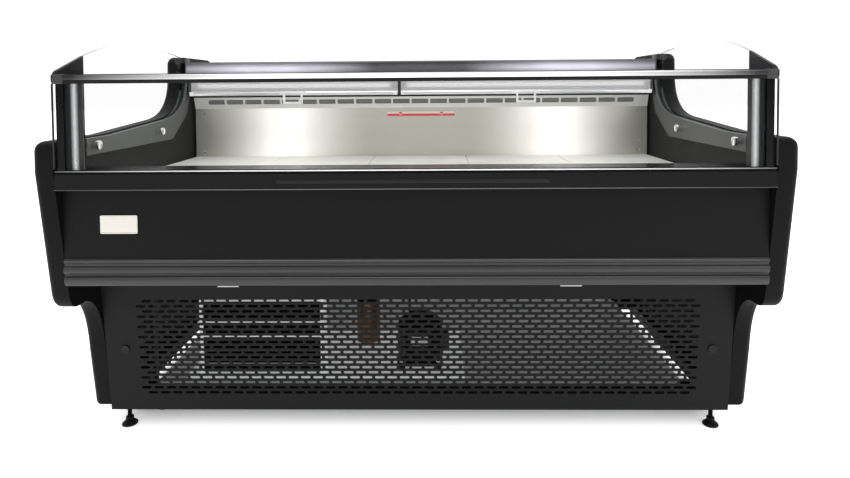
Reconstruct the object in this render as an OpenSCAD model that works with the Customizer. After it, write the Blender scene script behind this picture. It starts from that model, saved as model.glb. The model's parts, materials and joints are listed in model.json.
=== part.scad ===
// Open refrigerated deli display case: moulded ends, low front glass, night blinds, slotted plinth.
// Origin on the floor under the middle of the case. +X to the viewer's right, the front faces -Y, +Z up.

/* [Case] */
// Overall width over the moulded ends
case_w = 2026; // [2016:1:2036]
// Overall depth, front to back
case_d = 1150; // [1145:1:1155]
// Overall height, to the crown of the side glass
case_h = 1220; // [1215:1:1225]
// Thickness of one moulded end
end_t = 59; // [54:1:62]
// Radius of the moulded end's outer edges
end_round = 32; // [20:1:36]

/* [Glazing] */
// Thickness of the front glass
front_glass_t = 6; // [5:1:6]
// Thickness of each side glass
side_glass_t = 8; // [6:1:8]
// Height of the front glass's top rail above the floor
rail_top = 1113; // [1110:1:1118]

/* [Well] */
// Height of the deck trays' top
deck_z = 794; // [790:1:796]
// Number of deck trays
tray_count = 5; // [5:1:5]
// Gap between two deck trays
tray_gap = 4; // [3:1:6]
// Thickness of the stainless sheet
sheet_t = 2; // [1.5:0.5:2]

/* [Night blinds] */
// Centre line of the divider between the two blinds
divider_x = -79; // [-85:1:-75]
// Radius of a wound blind roller
roller_r = 18; // [16:1:18]
// Width of a blind's handle
handle_w = 77; // [70:1:80]

/* [Plinth] */
// Length of one slot
slot_w = 30; // [26:1:31]
// Height of one slot
slot_h = 9; // [7:1:10]
// Distance between slots along a row
slot_pitch = 38; // [37:1:40]
// Distance between rows
row_pitch = 16.6; // [16:0.1:17]
// Number of rows
row_count = 19; // [10:1:19]

/* [Machine] */
// Radius of the condenser fan
cond_fan_r = 100; // [90:1:102]
// Radius of each evaporator fan
evap_fan_r = 75; // [65:1:76]
// Radius of the compressor shell
comp_r = 76; // [70:1:80]

/* [Feet] */
// Radius of a foot's pad
pad_r = 24; // [20:1:26]
// Radius of a foot's threaded stem
stem_r = 7; // [6:1:8]

/* [Hidden] */
$fn = 48;
fy = -case_d / 2;             // front-most plane
by = case_d / 2;              // rear-most plane
in_x = case_w / 2 - end_t;    // inner face of a moulded end
glass_x = in_x - side_glass_t;  // inner face of a side glass
liner_t = 12;
liner_x = glass_x - liner_t;  // inner face of a side liner
trim_t = 8;
trim_x = liner_x - trim_t;    // inner face of a side trim
end_z = 88;                   // underside of a moulded end
tub_z = 490;                  // underside of the tub
tub_floor = 550;
tub_front_z = 538;            // underside of the tub's raised front corner
ledge_z = 857;                // top of the front ledge
glass_y = fy + 8;             // front face of the front glass
rail_h = 25;
rail_z = rail_top - rail_h;
duct_y = 321;                 // front face of the stainless rear wall
canopy_y = 232;               // front of the canopy
canopy_z = 1105;              // underside of the canopy
canopy_top = 1178;
lamp_y = 250;
lamp_z = 1052;                // underside of the lamp covers
blind_y = 213;                // middle of a pull bar at rest
blind_z = 1052;
roller_y = 296;
roller_z = 1062;
blind_side_x = 911;           // outer end of the blinds
wrap_gap = 5;
bar_h = 14;
bar_d = 12;
frame_z = 90;                 // underside of the base frame
frame_t = 40;
foot_x = in_x - 29;
foot_front_y = fy + 310;
foot_rear_y = 500;
tray_pitch = 1848 / tray_count;
tray_front = fy + 155;
tray_back = duct_y - 6;
plinth_top = [fy + 210, 488];
plinth_foot = [fy + 255, 77];
plinth_lean = atan2(plinth_foot[0] - plinth_top[0], plinth_top[1] - plinth_foot[1]);
plinth_len = norm(plinth_foot - plinth_top);
cols = 2 * floor(837 / slot_pitch);
unit_x = [-750, 150];
coil_x = [-705, -310];
coil_y = fy + 350;
coil_z = [145, 385];
fan_x = (coil_x[0] + coil_x[1]) / 2;
fan_z = (coil_z[0] + coil_z[1]) / 2;
fan_y = coil_y + 92;
evap_y = 60;
evap_z = 650;
evap_x = 320;
comp_x = 5;
comp_y = fy + 455;
tray_z = 132;                 // top of the base tray's flange
ball_sides = 16;
shaft_r = 3;
run_fit = 0.05;

black = [0.07, 0.07, 0.075];
soft_black = [0.13, 0.135, 0.14];
charcoal = [0.2, 0.21, 0.22];
steel = [0.72, 0.71, 0.67];
zinc = [0.62, 0.63, 0.63];
clear = [0.8, 0.88, 0.88, 0.3];
white = [0.9, 0.9, 0.9];
copper = [0.72, 0.42, 0.25];

// Points along a quadratic curve from a to c, pulled towards b
function curve(a, b, c, n = 8) = [for (i = [0:n]) let (t = i / n)
  (1 - t) * (1 - t) * a + 2 * t * (1 - t) * b + t * t * c];

// Points along a round stretch about the centre c
function bow(c, r, from, to, n = 8) = [for (i = [0:n]) let (a = from + (to - from) * i / n)
  c + r * [cos(a), sin(a)]];

// Outline of a moulded end, as [depth from the front, height]
end_outline = concat(
  curve([95, 460], [60, 462], [54, 515]),
  [[0, 850], [0, 908]],
  curve([0, 908], [2, 935], [34, 935]),
  [[250, 936]],
  curve([620, 963], [800, 980], [815, 1100]),
  curve([818, 1160], [818, 1200], [852, 1200]),
  [[1110, 1200]],
  curve([1110, 1200], [1150, 1200], [1150, 1160]),
  [[1150, end_z], [262, end_z], [232, 270]],
  curve([232, 270], [215, 440], [135, 460])
);

// Upright edge of a side trim and liner, following the moulded end 2 mm lower
liner_outline = concat(
  [[60, 545], [60, 780], [112, 780], [112, 933], [250, 934]],
  curve([620, 961], [802, 978], [817, 1100]),
  [[820, 1100], [1075, 1100], [1075, 545]]
);

trim_outline = concat(
  [[112, 885], [112, 933], [250, 934]],
  curve([620, 961], [802, 978], [817, 1100]),
  [[820, 1196], [846, 1196], [846, 1060], [804, 970], [672, 885]]
);

glass_crown = concat(
  [[2, 900], [2, 1100]],
  curve([2, 1100], [3, 1117], [22, 1125]),
  curve([140, 1169], [290, 1219], [430, case_h]),
  curve([430, case_h], [630, 1221], [812, 1197]),
  [[812, 1095]],
  curve([812, 1095], [796, 976], [620, 958]),
  [[620, 900]]
);

// Extrudes an outline drawn as [depth from the front, height] from x0 to x1
module across(x0, x1) {
  translate([x0, fy, 0])
    rotate([90, 0, 90])
      linear_extrude(x1 - x0)
        children();
}

module both_sides() {
  children();
  mirror([1, 0, 0]) children();
}

module box(low, high) {
  translate(low) cube(high - low);
}

module rod_y(x, y0, y1, z, r) {
  translate([x, y0, z]) rotate([-90, 0, 0]) cylinder(h = y1 - y0, r = r);
}

module rod_x(x0, x1, y, z, r) {
  translate([x0, y, z]) rotate([0, 90, 0]) cylinder(h = x1 - x0, r = r);
}

// ---- Body of the case ----

module end_panel() {
  across(in_x, case_w / 2 - end_round) polygon(end_outline);
  intersection() {
    translate([case_w / 2 - end_round, 0, 0]) box([0, fy, 0], [end_round, by, case_h]);
    minkowski() {
      across(case_w / 2 - end_round - 2, case_w / 2 - end_round)
        offset(delta = -end_round) polygon(end_outline);
      sphere(end_round / cos(180 / ball_sides), $fn = ball_sides);
    }
  }
}

module end_panel_right() {
  color(soft_black) end_panel();
}

module end_panel_left() {
  color(soft_black) mirror([1, 0, 0]) end_panel();
}

module base_frame() {
  rail_x = in_x - 8;
  post_z = tub_z;
  color(charcoal) difference() {
    union() {
      both_sides() {
        box([rail_x - frame_t, foot_front_y - 20, frame_z], [rail_x, by - 15, frame_z + frame_t]);
        box([rail_x - frame_t, foot_front_y - 20, frame_z], [rail_x, foot_front_y + 20, post_z]);
        box([rail_x - frame_t, foot_rear_y - 20, frame_z], [rail_x, foot_rear_y + 20, post_z]);
      }
      for (y = [foot_front_y, foot_rear_y])
        box([-rail_x, y - 20, frame_z], [rail_x, y + 20, frame_z + frame_t]);
    }
    for (x = [-foot_x, foot_x], y = [foot_front_y, foot_rear_y])
      translate([x, y, frame_z - 1]) cylinder(h = 81, r = stem_r + run_fit);
  }
}

module tub() {
  color(charcoal) across(-liner_x, liner_x) polygon([
    [44, tub_front_z], [44, 790], [105, 790], [105, tub_floor + 50], [190, tub_floor],
    [1080, tub_floor], [1080, 1150], [1136, 1150], [1136, tub_z], [205, tub_z], [150, tub_front_z]
  ]);
}

module front_panel() {
  color(black) across(-in_x + 1, in_x - 1)
    polygon([[38, 611], [38, 802], [43.5, 802], [43.5, 611]]);
}

module front_ledge() {
  groove = front_glass_t;
  color(black) across(-in_x + 0.5, in_x - 0.5) polygon([
    [4, 803], [3, 846], [4, 852], [7, 855], [8, 855], [8, 849], [8 + groove, 849],
    [8 + groove, ledge_z], [98, ledge_z], [110, 848], [110, 791], [44, 791], [44, 803]
  ]);
}

module front_bumper() {
  z0 = 537;
  z1 = 610;
  back = 43.7;
  lip_z = tub_front_z - 3.5;
  color(soft_black) across(-in_x + 1, in_x - 1) polygon(concat(
    [[back - 2, lip_z], [70, lip_z], [70, lip_z + 2], [back, lip_z + 2]],
    [[back, z1], [38, z1], [34, z1 - 4], [34, z1 - 10], [39, z1 - 14]],
    curve([39, z1 - 20], [32, z1 - 22], [32, z1 - 31]),
    curve([32, z1 - 31], [32, z1 - 40], [40, z1 - 42]),
    curve([40, z1 - 48], [34, z1 - 50], [34, z1 - 58]),
    curve([34, z1 - 60], [36, z0], [back - 2, z0 - 1])
  ));
}

module nameplate() {
  color(steel) hull() for (x = [-847, -753], z = [684, 726])
    translate([x, fy + 36, z]) rotate([-90, 0, 0]) cylinder(h = 2, r = 4, $fn = 24);
}

// ---- Glazing ----

module front_glass() {
  color(clear) box([-glass_x, glass_y, 849], [glass_x, glass_y + front_glass_t, rail_top - 12]);
}

module front_rail() {
  groove_top = rail_top - 12;
  color(black) across(-in_x, in_x) polygon([
    [2, rail_z + 8], [2, rail_top - 3], [5, rail_top], [37, rail_top], [40, rail_top - 3],
    [40, rail_z + 3], [37, rail_z], [8 + front_glass_t, rail_z], [8 + front_glass_t, groove_top],
    [8, groove_top], [8, rail_z], [6, rail_z]
  ]);
}

module corner_post() {
  post_x = 889;
  post_w = 42;
  color(charcoal) translate([post_x, glass_y + front_glass_t, ledge_z])
    linear_extrude(rail_z - ledge_z) {
      square([post_w, 20]);
      translate([post_w / 2, 16]) intersection() {
        circle(post_w / 2);
        translate([-post_w / 2, 0]) square([post_w, post_w / 2]);
      }
    }
}

module corner_posts() {
  both_sides() corner_post();
}

module side_glass() {
  color(clear) across(glass_x, in_x) difference() {
    polygon(glass_crown);
    translate([0, ledge_z - 12]) square([41.5, rail_top - ledge_z + 12.5]);
  }
}

module side_glass_right() {
  side_glass();
}

module side_glass_left() {
  mirror([1, 0, 0]) side_glass();
}

module glass_bracket() {
  bar_x = liner_x + 2;
  color(black) {
    box([bar_x, fy + 70, ledge_z], [glass_x, fy + 108, 1046]);
    translate([bar_x, fy + 89, 1046]) rotate([0, 90, 0]) cylinder(h = glass_x - bar_x, r = 19);
  }
  color(steel) for (z = [890, 960, 1030])
    translate([bar_x - 5, fy + 89, z]) rotate([0, 90, 0]) cylinder(h = 5, r = 7);
}

module glass_brackets() {
  both_sides() glass_bracket();
}

module side_liners() {
  color(charcoal) both_sides() across(liner_x, glass_x) polygon(liner_outline);
}

module side_trims() {
  color([0.35, 0.37, 0.36]) both_sides() across(trim_x, liner_x) polygon(trim_outline);
}

module glass_knobs() {
  color(steel) both_sides() for (p = [[150, 912], [560, 922]]) {
    rod_x(trim_x - 6, trim_x, fy + p[0], p[1], 8);
    rod_x(trim_x - 18, trim_x - 6, fy + p[0], p[1], 13);
  }
}

// ---- Inner rear wall, canopy and lighting ----

module duct_panel() {
  color(steel) box([-trim_x + 0.5, duct_y, 702], [trim_x - 0.5, duct_y + sheet_t, 990]);
}

module air_outlet() {
  slot = 68;
  pitch = 76;
  n = 11;
  color(steel) difference() {
    across(-trim_x + 0.5, trim_x - 0.5) polygon([
      [duct_y - fy, 990], [duct_y - fy - 6, 1003], [duct_y - fy - 18, 1036],
      [duct_y - fy + 12, 1036], [duct_y - fy + 12, 990]
    ]);
    for (i = [-n:n])
      translate([i * pitch - slot / 2, duct_y - 30, 1008]) cube([slot, 60, 18]);
  }
}

module canopy() {
  skin = 3;
  front = canopy_y - fy;
  color(black) {
    difference() {
      across(-in_x + 0.5, in_x - 0.5) polygon([
        [front, canopy_z + 5], [front, canopy_top - 6], [front + 8, canopy_top], [1138, canopy_top],
        [1138, 1151], [1135, 1151], [1135, canopy_top - skin], [front + 9, canopy_top - skin],
        [front + skin, canopy_top - 8], [front + skin, canopy_z + skin + 3],
        [duct_y - fy + 22, canopy_z + skin], [duct_y - fy + 22, 1030], [duct_y - fy + 19, 1030],
        [duct_y - fy + 19, canopy_z], [front + 6, canopy_z]
      ]);
      both_sides() {
        box([trim_x - 0.5, canopy_y - 1, canopy_z - 80], [in_x, fy + 850, canopy_top + 1]);
        box([trim_x - 0.5, canopy_y - 1, canopy_z - 80], [in_x, by, canopy_z - 4]);
      }
    }
    for (x = [-blind_side_x, divider_x, blind_side_x])
      difference() {
        box([x - 5, canopy_y - 4, 1044], [x + 5, roller_y + 22, canopy_z]);
        rod_x(x - 6, x + 6, roller_y, roller_z, 5 + run_fit);
        box([x - 6, canopy_y - 5, 1043], [x + 6, canopy_y + 2, lamp_z - 2]);
      }
  }
}

module lamp_cover(x0, x1) {
  wall = 2;
  across(x0, x1) difference() {
    polygon([[803, lamp_z + 10], [803, canopy_z - 1], [847, canopy_z - 1], [847, lamp_z + 6],
             [841, lamp_z], [811, lamp_z]]);
    polygon([[803 + wall, lamp_z + 11], [803 + wall, canopy_z], [847 - wall, canopy_z],
             [847 - wall, lamp_z + 7], [840, lamp_z + wall], [812, lamp_z + wall]]);
  }
}

module lamp_covers() {
  color(clear) {
    lamp_cover(-blind_side_x + 6, divider_x - 6);
    lamp_cover(divider_x + 6, blind_side_x - 6);
  }
}

module lamps() {
  for (x = [[-blind_side_x + 30, divider_x - 30], [divider_x + 30, blind_side_x - 30]]) {
    color(white) rod_x(x[0], x[1], lamp_y, 1082, 8);
    color(zinc) box([x[0], lamp_y - 10, 1091], [x[1], lamp_y + 10, canopy_z]);
    color(zinc) for (e = [x[0] - 8, x[1]])
      box([e, lamp_y - 10, 1072], [e + 8, lamp_y + 10, canopy_z]);
  }
}

// ---- Night blinds ----

module blind_bar(x0, x1) {
  mid = (x0 + x1) / 2;
  color(zinc) across(x0 + 7, x1 - 7) polygon([
    [788 - bar_d / 2, blind_z - 7], [788 - bar_d / 2, blind_z + 5], [788 - bar_d / 2 + 2, blind_z + 7],
    [788 + bar_d / 2, blind_z + 7], [788 + bar_d / 2, blind_z - 7]
  ]);
  color(white) {
    difference() {
      box([mid - handle_w / 2, blind_y - 14, 1011], [mid + handle_w / 2, blind_y - 6, 1060]);
      box([mid - handle_w / 2 + 8, blind_y - 15, 1018], [mid + handle_w / 2 - 8, blind_y - 5, 1043]);
    }
    for (s = [-1, 1])
      box([mid + s * 46 - 8, blind_y - 10, 1046], [mid + s * 46 + 8, blind_y - 6, 1060]);
  }
}

module blind_bar_left() {
  blind_bar(-blind_side_x, divider_x);
}

module blind_bar_right() {
  blind_bar(divider_x, blind_side_x);
}

module blind_roller(x0, x1, end0, end1) {
  color(white) rod_x(x0 + wrap_gap + 3, x1 - wrap_gap - 3, roller_y, roller_z, roller_r);
  color(zinc) rod_x(x0 + end0, x1 + end1, roller_y, roller_z, 5);
}

module blind_roller_left() {
  blind_roller(-blind_side_x, divider_x, -4, -0.5);
}

module blind_roller_right() {
  blind_roller(divider_x, blind_side_x, 0.5, 4);
}

module blind_sheet(x0, x1) {
  low = roller_z - roller_r - 1.2;
  color(zinc) box([x0 + 10, blind_y + bar_d / 2, low], [x1 - 10, roller_y, low + 0.8]);
}

module blind_sheet_left() {
  blind_sheet(-blind_side_x, divider_x);
}

module blind_sheet_right() {
  blind_sheet(divider_x, blind_side_x);
}

// ---- Deck and air circuit ----

module deck_tray(i) {
  x0 = -tray_pitch * tray_count / 2 + tray_pitch * (i - 1) + tray_gap / 2;
  x1 = x0 + tray_pitch - tray_gap;
  color(steel) difference() {
    box([x0, tray_front, deck_z - 22], [x1, tray_back, deck_z]);
    box([x0 + sheet_t, tray_front + sheet_t, deck_z - 23],
        [x1 - sheet_t, tray_back - sheet_t, deck_z - sheet_t]);
  }
}

module deck_tray_1() {
  deck_tray(1);
}

module deck_tray_2() {
  deck_tray(2);
}

module deck_tray_3() {
  deck_tray(3);
}

module deck_tray_4() {
  deck_tray(4);
}

module deck_tray_5() {
  deck_tray(5);
}

module deck_supports() {
  color(zinc) for (y = [tray_front + 30, tray_back - 60]) {
    box([-liner_x, y, deck_z - 25], [liner_x, y + 24, deck_z - 22.5]);
    box([-liner_x, y + 10, deck_z - 50], [liner_x, y + 12, deck_z - 25]);
  }
}

module return_grille() {
  slot = 60;
  pitch = 72;
  n = 12;
  color(steel) difference() {
    across(-trim_x, trim_x) polygon([
      [110.5, 790], [110.5, 848], [112.5, 848], [153, 800], [153, 790], [151, 790], [151, 799],
      [112.5, 845], [112.5, 790]
    ]);
    for (i = [-n:n], z = [809, 823, 837])
      translate([i * pitch - slot / 2, fy + 113, z - 3]) cube([slot, 45, 6]);
  }
}

module evaporator_coil() {
  fins = 36;
  color(zinc) {
    for (i = [0:fins])
      box([-600 + i * 1200 / fins - 1, 110, 562], [-600 + i * 1200 / fins + 1, 300, 696]);
    for (y = [150, 200, 250], z = [590, 630, 670])
      rod_x(-612, 612, y, z, 6);
  }
}

module evaporator_shroud() {
  color(steel) difference() {
    box([-liner_x, evap_y, tub_floor], [liner_x, evap_y + 3, 760]);
    for (x = [-evap_x, evap_x])
      rod_y(x, evap_y - 1, evap_y + 4, evap_z, evap_fan_r + 6);
  }
  color(charcoal) for (x = [-evap_x, evap_x]) {
    rod_y(x, evap_y + 5, evap_y + 45, evap_z, 28);
    rod_y(x, evap_y - 26, evap_y + 5, evap_z, shaft_r);
    for (s = [-1, 1])
      box([x + s * 54 - 34, evap_y + 3, evap_z - 4], [x + s * 54 + 34, evap_y + 8, evap_z + 4]);
  }
}

// A propeller fan that turns about Y, centred on its hub
module fan(r, hub_r, depth, blades) {
  difference() {
    union() {
      rod_y(0, -depth / 2, depth / 2, 0, hub_r);
      for (i = [0:blades - 1])
        rotate([0, i * 360 / blades, 0]) intersection() {
          translate([(r + hub_r) / 2 - 2, 0, 0]) rotate([28, 0, 0])
            cube([r - hub_r, 2, r * 0.62], center = true);
          rod_y(0, -depth / 2, depth / 2, 0, r);
        }
    }
    rod_y(0, -depth, depth, 0, shaft_r + run_fit);
  }
}

module evaporator_fan_left() {
  color(black) translate([-evap_x, evap_y - 13, evap_z]) fan(evap_fan_r, 20, 24, 5);
}

module evaporator_fan_right() {
  color(black) translate([evap_x, evap_y - 13, evap_z]) fan(evap_fan_r, 20, 24, 5);
}

module drain_trap() {
  x = -855;
  y = fy + 345;
  z = 56;
  color(black) {
    translate([x, y, z]) cylinder(h = tub_z - z, r = 10);
    translate([x + 20, y, z]) rotate([90, 0, 0]) rotate([0, 0, 180])
      rotate_extrude(angle = 180) translate([20, 0]) circle(10);
    translate([x + 40, y, z]) cylinder(h = 24, r = 10);
  }
}

// ---- Machine compartment ----

module base_tray() {
  wall = 2;
  color(zinc) difference() {
    union() {
      box([-840, foot_front_y + 20.5, 102], [840, foot_rear_y - 20.5, tray_z - wall]);
      box([-830, foot_front_y + 2, tray_z - wall], [830, foot_rear_y - 2, tray_z]);
    }
    box([-840 + wall, foot_front_y + 20.5 + wall, 102 + wall],
        [840 - wall, foot_rear_y - 20.5 - wall, tray_z + 1]);
  }
}

module unit_base() {
  color(zinc) difference() {
    box([unit_x[0], foot_front_y + 30, 104], [unit_x[1], 120, 142]);
    box([unit_x[0] - 1, foot_front_y + 32, 103], [unit_x[1] + 1, 118, 140]);
    for (dx = [-60, 60], dy = [-60, 60])
      translate([comp_x + dx, comp_y + dy, 130]) cylinder(h = 20, r = 6);
  }
}

module compressor_mounts() {
  color(black) for (dx = [-60, 60], dy = [-60, 60])
    translate([comp_x + dx, comp_y + dy, 136]) difference() {
      union() {
        cylinder(h = 16, r = 6);
        translate([0, 0, 6]) cylinder(h = 10, r = 12);
      }
      translate([0, 0, -1]) cylinder(h = 30, r = 3);
    }
}

module compressor() {
  color(black) translate([comp_x, comp_y, 0]) {
    translate([0, 0, 158]) cylinder(h = 96, r = comp_r);
    translate([0, 0, 254]) intersection() {
      scale([1, 1, 0.6]) sphere(comp_r);
      translate([0, 0, comp_r]) cube(2 * comp_r, center = true);
    }
    difference() {
      box([-76, -76, 152], [76, 76, 158]);
      for (dx = [-60, 60], dy = [-60, 60])
        translate([dx, dy, 150]) cylinder(h = 20, r = 4);
    }
    box([comp_r - 12, -26, 190], [comp_r + 22, 26, 240]);
  }
}

module condenser_coil() {
  fins = 56;
  w = coil_x[1] - coil_x[0];
  color(zinc) {
    for (i = [1:fins - 1])
      box([coil_x[0] + i * w / fins - 0.5, coil_y + 4, coil_z[0] + 4],
          [coil_x[0] + i * w / fins + 0.5, coil_y + 56, coil_z[1] - 4]);
    for (x = coil_x)
      box([x - 6, coil_y, 142], [x + 6, coil_y + 60, coil_z[1]]);
    for (z = [coil_z[0], coil_z[1] - 4])
      box([coil_x[0], coil_y, z], [coil_x[1], coil_y + 60, z + 4]);
    for (i = [0:4])
      rod_x(coil_x[0] - 14, coil_x[1] + 14, coil_y + 16, coil_z[0] + 28 + i * 46, 5);
  }
}

module condenser_shroud() {
  depth = 50;
  color(charcoal) difference() {
    union() {
      box([coil_x[0], coil_y + 60, coil_z[0] - 2], [coil_x[1], coil_y + 63, coil_z[1]]);
      rod_y(fan_x, coil_y + 60, coil_y + 60 + depth, fan_z, cond_fan_r + 8);
    }
    rod_y(fan_x, coil_y + 59, coil_y + 61 + depth, fan_z, cond_fan_r + 5);
  }
}

module condenser_fan() {
  color(zinc) translate([fan_x, fan_y, fan_z]) fan(cond_fan_r, 24, 30, 5);
}

module condenser_motor() {
  color(black) {
    rod_y(fan_x, fan_y + 17, fan_y + 82, fan_z, 38);
    rod_y(fan_x, fan_y - 16, fan_y + 17, fan_z, shaft_r);
    box([fan_x - 14, fan_y + 30, 142], [fan_x + 14, fan_y + 66, fan_z - 30]);
    box([fan_x - 60, fan_y + 22, 142], [fan_x + 60, fan_y + 74, 145]);
  }
}

module pipework() {
  color(black) {
    translate([-190, 50, 142]) cylinder(h = 150, r = 42);
    translate([-190, 50, 292]) intersection() {
      scale([1, 1, 0.5]) sphere(42);
      translate([0, 0, 42]) cube(84, center = true);
    }
  }
  color(copper) {
    translate([-190, 50, 300]) cylinder(h = 60, r = 5);
    translate([-190, 62, 360]) rotate([0, 90, 0]) rotate([0, 0, 90])
      rotate_extrude(angle = 90) translate([12, 0]) circle(5);
    rod_y(-190, 62, 160, 372, 5);
    translate([-190, 160, 384]) rotate([90, 0, 90]) rotate([0, 0, -90])
      rotate_extrude(angle = 90) translate([12, 0]) circle(5);
    translate([-190, 172, 384]) cylinder(h = tub_z - 384, r = 5);
    translate([comp_x - 40, comp_y + 96, 200]) cylinder(h = tub_z - 200, r = 6);
    translate([comp_x - 40, comp_y + 84, 200]) rotate([0, 90, 0])
      rotate_extrude(angle = 90) translate([12, 0]) circle(6);
    rod_y(comp_x - 40, comp_y + 69, comp_y + 84, 188, 6);
  }
}

module plinth_grille() {
  top_blank = 57;
  color(charcoal) translate([0, plinth_top[0], plinth_top[1]]) rotate([plinth_lean, 0, 0])
    rotate([90, 0, 0]) linear_extrude(sheet_t) difference() {
      translate([-in_x + 2, -plinth_len]) square([2 * in_x - 4, plinth_len]);
      for (r = [0:row_count - 1], c = [-cols / 2:cols / 2 - 1 + (r % 2)])
        translate([(c + (r % 2 == 0 ? 0.5 : 0)) * slot_pitch - slot_w / 2,
                   -top_blank - r * row_pitch - slot_h / 2])
          square([slot_w, slot_h]);
    }
}

// Round caps on the plinth and screws in the stainless rear wall
module panel_screws() {
  cap_drop = 212;
  color(black) for (x = [-893, 893])
    translate([x, plinth_top[0], plinth_top[1]]) rotate([plinth_lean, 0, 0])
      translate([0, -sheet_t, -cap_drop]) rotate([90, 0, 0]) cylinder(h = 4, r = 13);
  color(steel) for (x = [-890, 890], z = [812, 850, 970])
    rod_y(x, duct_y - 2, duct_y, z, 4);
}

module rear_grille() {
  slot = 120;
  pitch = 150;
  n = 5;
  color(charcoal) difference() {
    box([-in_x + 2, by - 13, 92], [in_x - 2, by - 10, 488]);
    for (i = [-n:n], r = [0:9])
      translate([i * pitch - slot / 2, by - 20, 150 + r * 28]) cube([slot, 20, 9]);
    box([596, by - 20, 300], [804, by, 420]);
  }
}

module control_box() {
  color(black) difference() {
    box([600, by - 90, 304], [800, by - 4, 416]);
    for (x = [720, 765])
      box([x - 10.5, by - 24, 330], [x + 10.5, by, 360]);
  }
  color(zinc) for (x = [720, 765]) rod_x(x - 10.5, x + 10.5, by - 10, 345, 2 - run_fit);
  color(zinc) box([618, by - 4, 340], [696, by - 2, 376]);
}

module rocker(x) {
  translate([x, by - 10, 345]) difference() {
    union() {
      rod_x(-10, 10, 0, 0, 9);
      rotate([6, 0, 0]) box([-10, 0, -13], [10, 7, 13]);
    }
    rod_x(-11, 11, 0, 0, 2);
  }
}

module light_switch() {
  color(soft_black) rocker(720);
}

module main_switch() {
  color([0.1, 0.45, 0.15]) rocker(765);
}

module power_inlet() {
  color(black) {
    rod_y(860, by - 10, by - 4, 160, 18);
    rod_y(860, by - 4, by, 160, 12);
  }
}

// ---- Feet ----

module foot(x, y) {
  color(black) translate([x, y, 0]) {
    cylinder(h = 6, r = pad_r);
    translate([0, 0, 6]) cylinder(h = 10, r1 = pad_r, r2 = 11);
    translate([0, 0, 16]) cylinder(h = 10, r = 11, $fn = 6);
    translate([0, 0, 20]) cylinder(h = 130, r = stem_r);
  }
}

module foot_front_left() {
  foot(-foot_x, foot_front_y);
}

module foot_front_right() {
  foot(foot_x, foot_front_y);
}

module foot_rear_left() {
  foot(-foot_x, foot_rear_y);
}

module foot_rear_right() {
  foot(foot_x, foot_rear_y);
}

end_panel_left();
end_panel_right();
base_frame();
tub();
front_panel();
front_ledge();
front_bumper();
front_glass();
front_rail();
corner_posts();
side_glass_left();
side_glass_right();
glass_brackets();
side_liners();
side_trims();
glass_knobs();
duct_panel();
air_outlet();
canopy();
lamp_covers();
lamps();
return_grille();
deck_supports();
evaporator_coil();
evaporator_shroud();
drain_trap();
base_tray();
unit_base();
compressor();
compressor_mounts();
condenser_coil();
condenser_shroud();
condenser_motor();
pipework();
plinth_grille();
panel_screws();
rear_grille();
control_box();
power_inlet();
nameplate();
foot_front_left();
foot_front_right();
foot_rear_left();
foot_rear_right();
condenser_fan();
evaporator_fan_left();
evaporator_fan_right();
blind_bar_left();
blind_bar_right();
blind_roller_left();
blind_roller_right();
blind_sheet_left();
blind_sheet_right();
deck_tray_1();
deck_tray_2();
deck_tray_3();
deck_tray_4();
deck_tray_5();
light_switch();
main_switch();
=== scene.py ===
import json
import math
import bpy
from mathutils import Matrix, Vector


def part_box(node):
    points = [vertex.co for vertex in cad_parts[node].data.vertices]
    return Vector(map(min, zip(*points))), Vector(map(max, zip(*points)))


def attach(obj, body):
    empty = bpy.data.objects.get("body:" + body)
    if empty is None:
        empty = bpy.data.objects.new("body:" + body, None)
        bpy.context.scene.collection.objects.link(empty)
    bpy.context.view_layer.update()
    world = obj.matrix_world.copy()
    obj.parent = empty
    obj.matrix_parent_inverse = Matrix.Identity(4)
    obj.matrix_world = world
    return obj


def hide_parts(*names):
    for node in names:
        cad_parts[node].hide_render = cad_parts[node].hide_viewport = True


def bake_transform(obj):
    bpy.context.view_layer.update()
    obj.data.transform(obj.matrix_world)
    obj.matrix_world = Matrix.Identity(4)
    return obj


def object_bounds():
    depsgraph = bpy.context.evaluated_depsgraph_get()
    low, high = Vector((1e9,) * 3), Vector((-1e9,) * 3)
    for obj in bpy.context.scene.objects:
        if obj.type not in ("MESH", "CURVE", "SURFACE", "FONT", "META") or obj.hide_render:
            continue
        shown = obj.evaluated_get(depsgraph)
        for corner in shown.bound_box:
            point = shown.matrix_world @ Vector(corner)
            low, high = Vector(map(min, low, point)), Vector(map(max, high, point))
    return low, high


bl_info = {
    "name": "Refrigerated Deli Case",
    "version": (1, 0, 0),
    "blender": (4, 5, 0),
    "location": "View3D > Sidebar > Deli Case",
    "description": "Finishes a two-metre open deli display case piece by piece",
    "category": "Object",
}

import bpy
from mathutils import Matrix, Vector

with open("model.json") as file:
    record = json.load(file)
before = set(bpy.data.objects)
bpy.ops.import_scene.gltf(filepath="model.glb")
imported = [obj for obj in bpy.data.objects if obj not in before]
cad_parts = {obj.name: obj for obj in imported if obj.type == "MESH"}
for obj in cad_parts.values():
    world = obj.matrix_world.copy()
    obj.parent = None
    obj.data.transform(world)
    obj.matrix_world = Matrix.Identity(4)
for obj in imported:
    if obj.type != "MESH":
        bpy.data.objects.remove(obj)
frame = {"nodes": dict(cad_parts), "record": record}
cad_low, cad_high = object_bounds()
NODES = frame["nodes"]
SLOT_OF = {part["node"]: part["material_slot"] for part in frame["record"]["subparts"]}
BASE_OF = {m["slot"]: tuple(m["base_color"]) for m in frame["record"]["materials"]}

FRONT = cad_low.y
BACK = cad_high.y
MM = 0.001
SIDES = (("left", -1), ("right", 1))


# ---------------------------------------------------------------- shader wires


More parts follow.
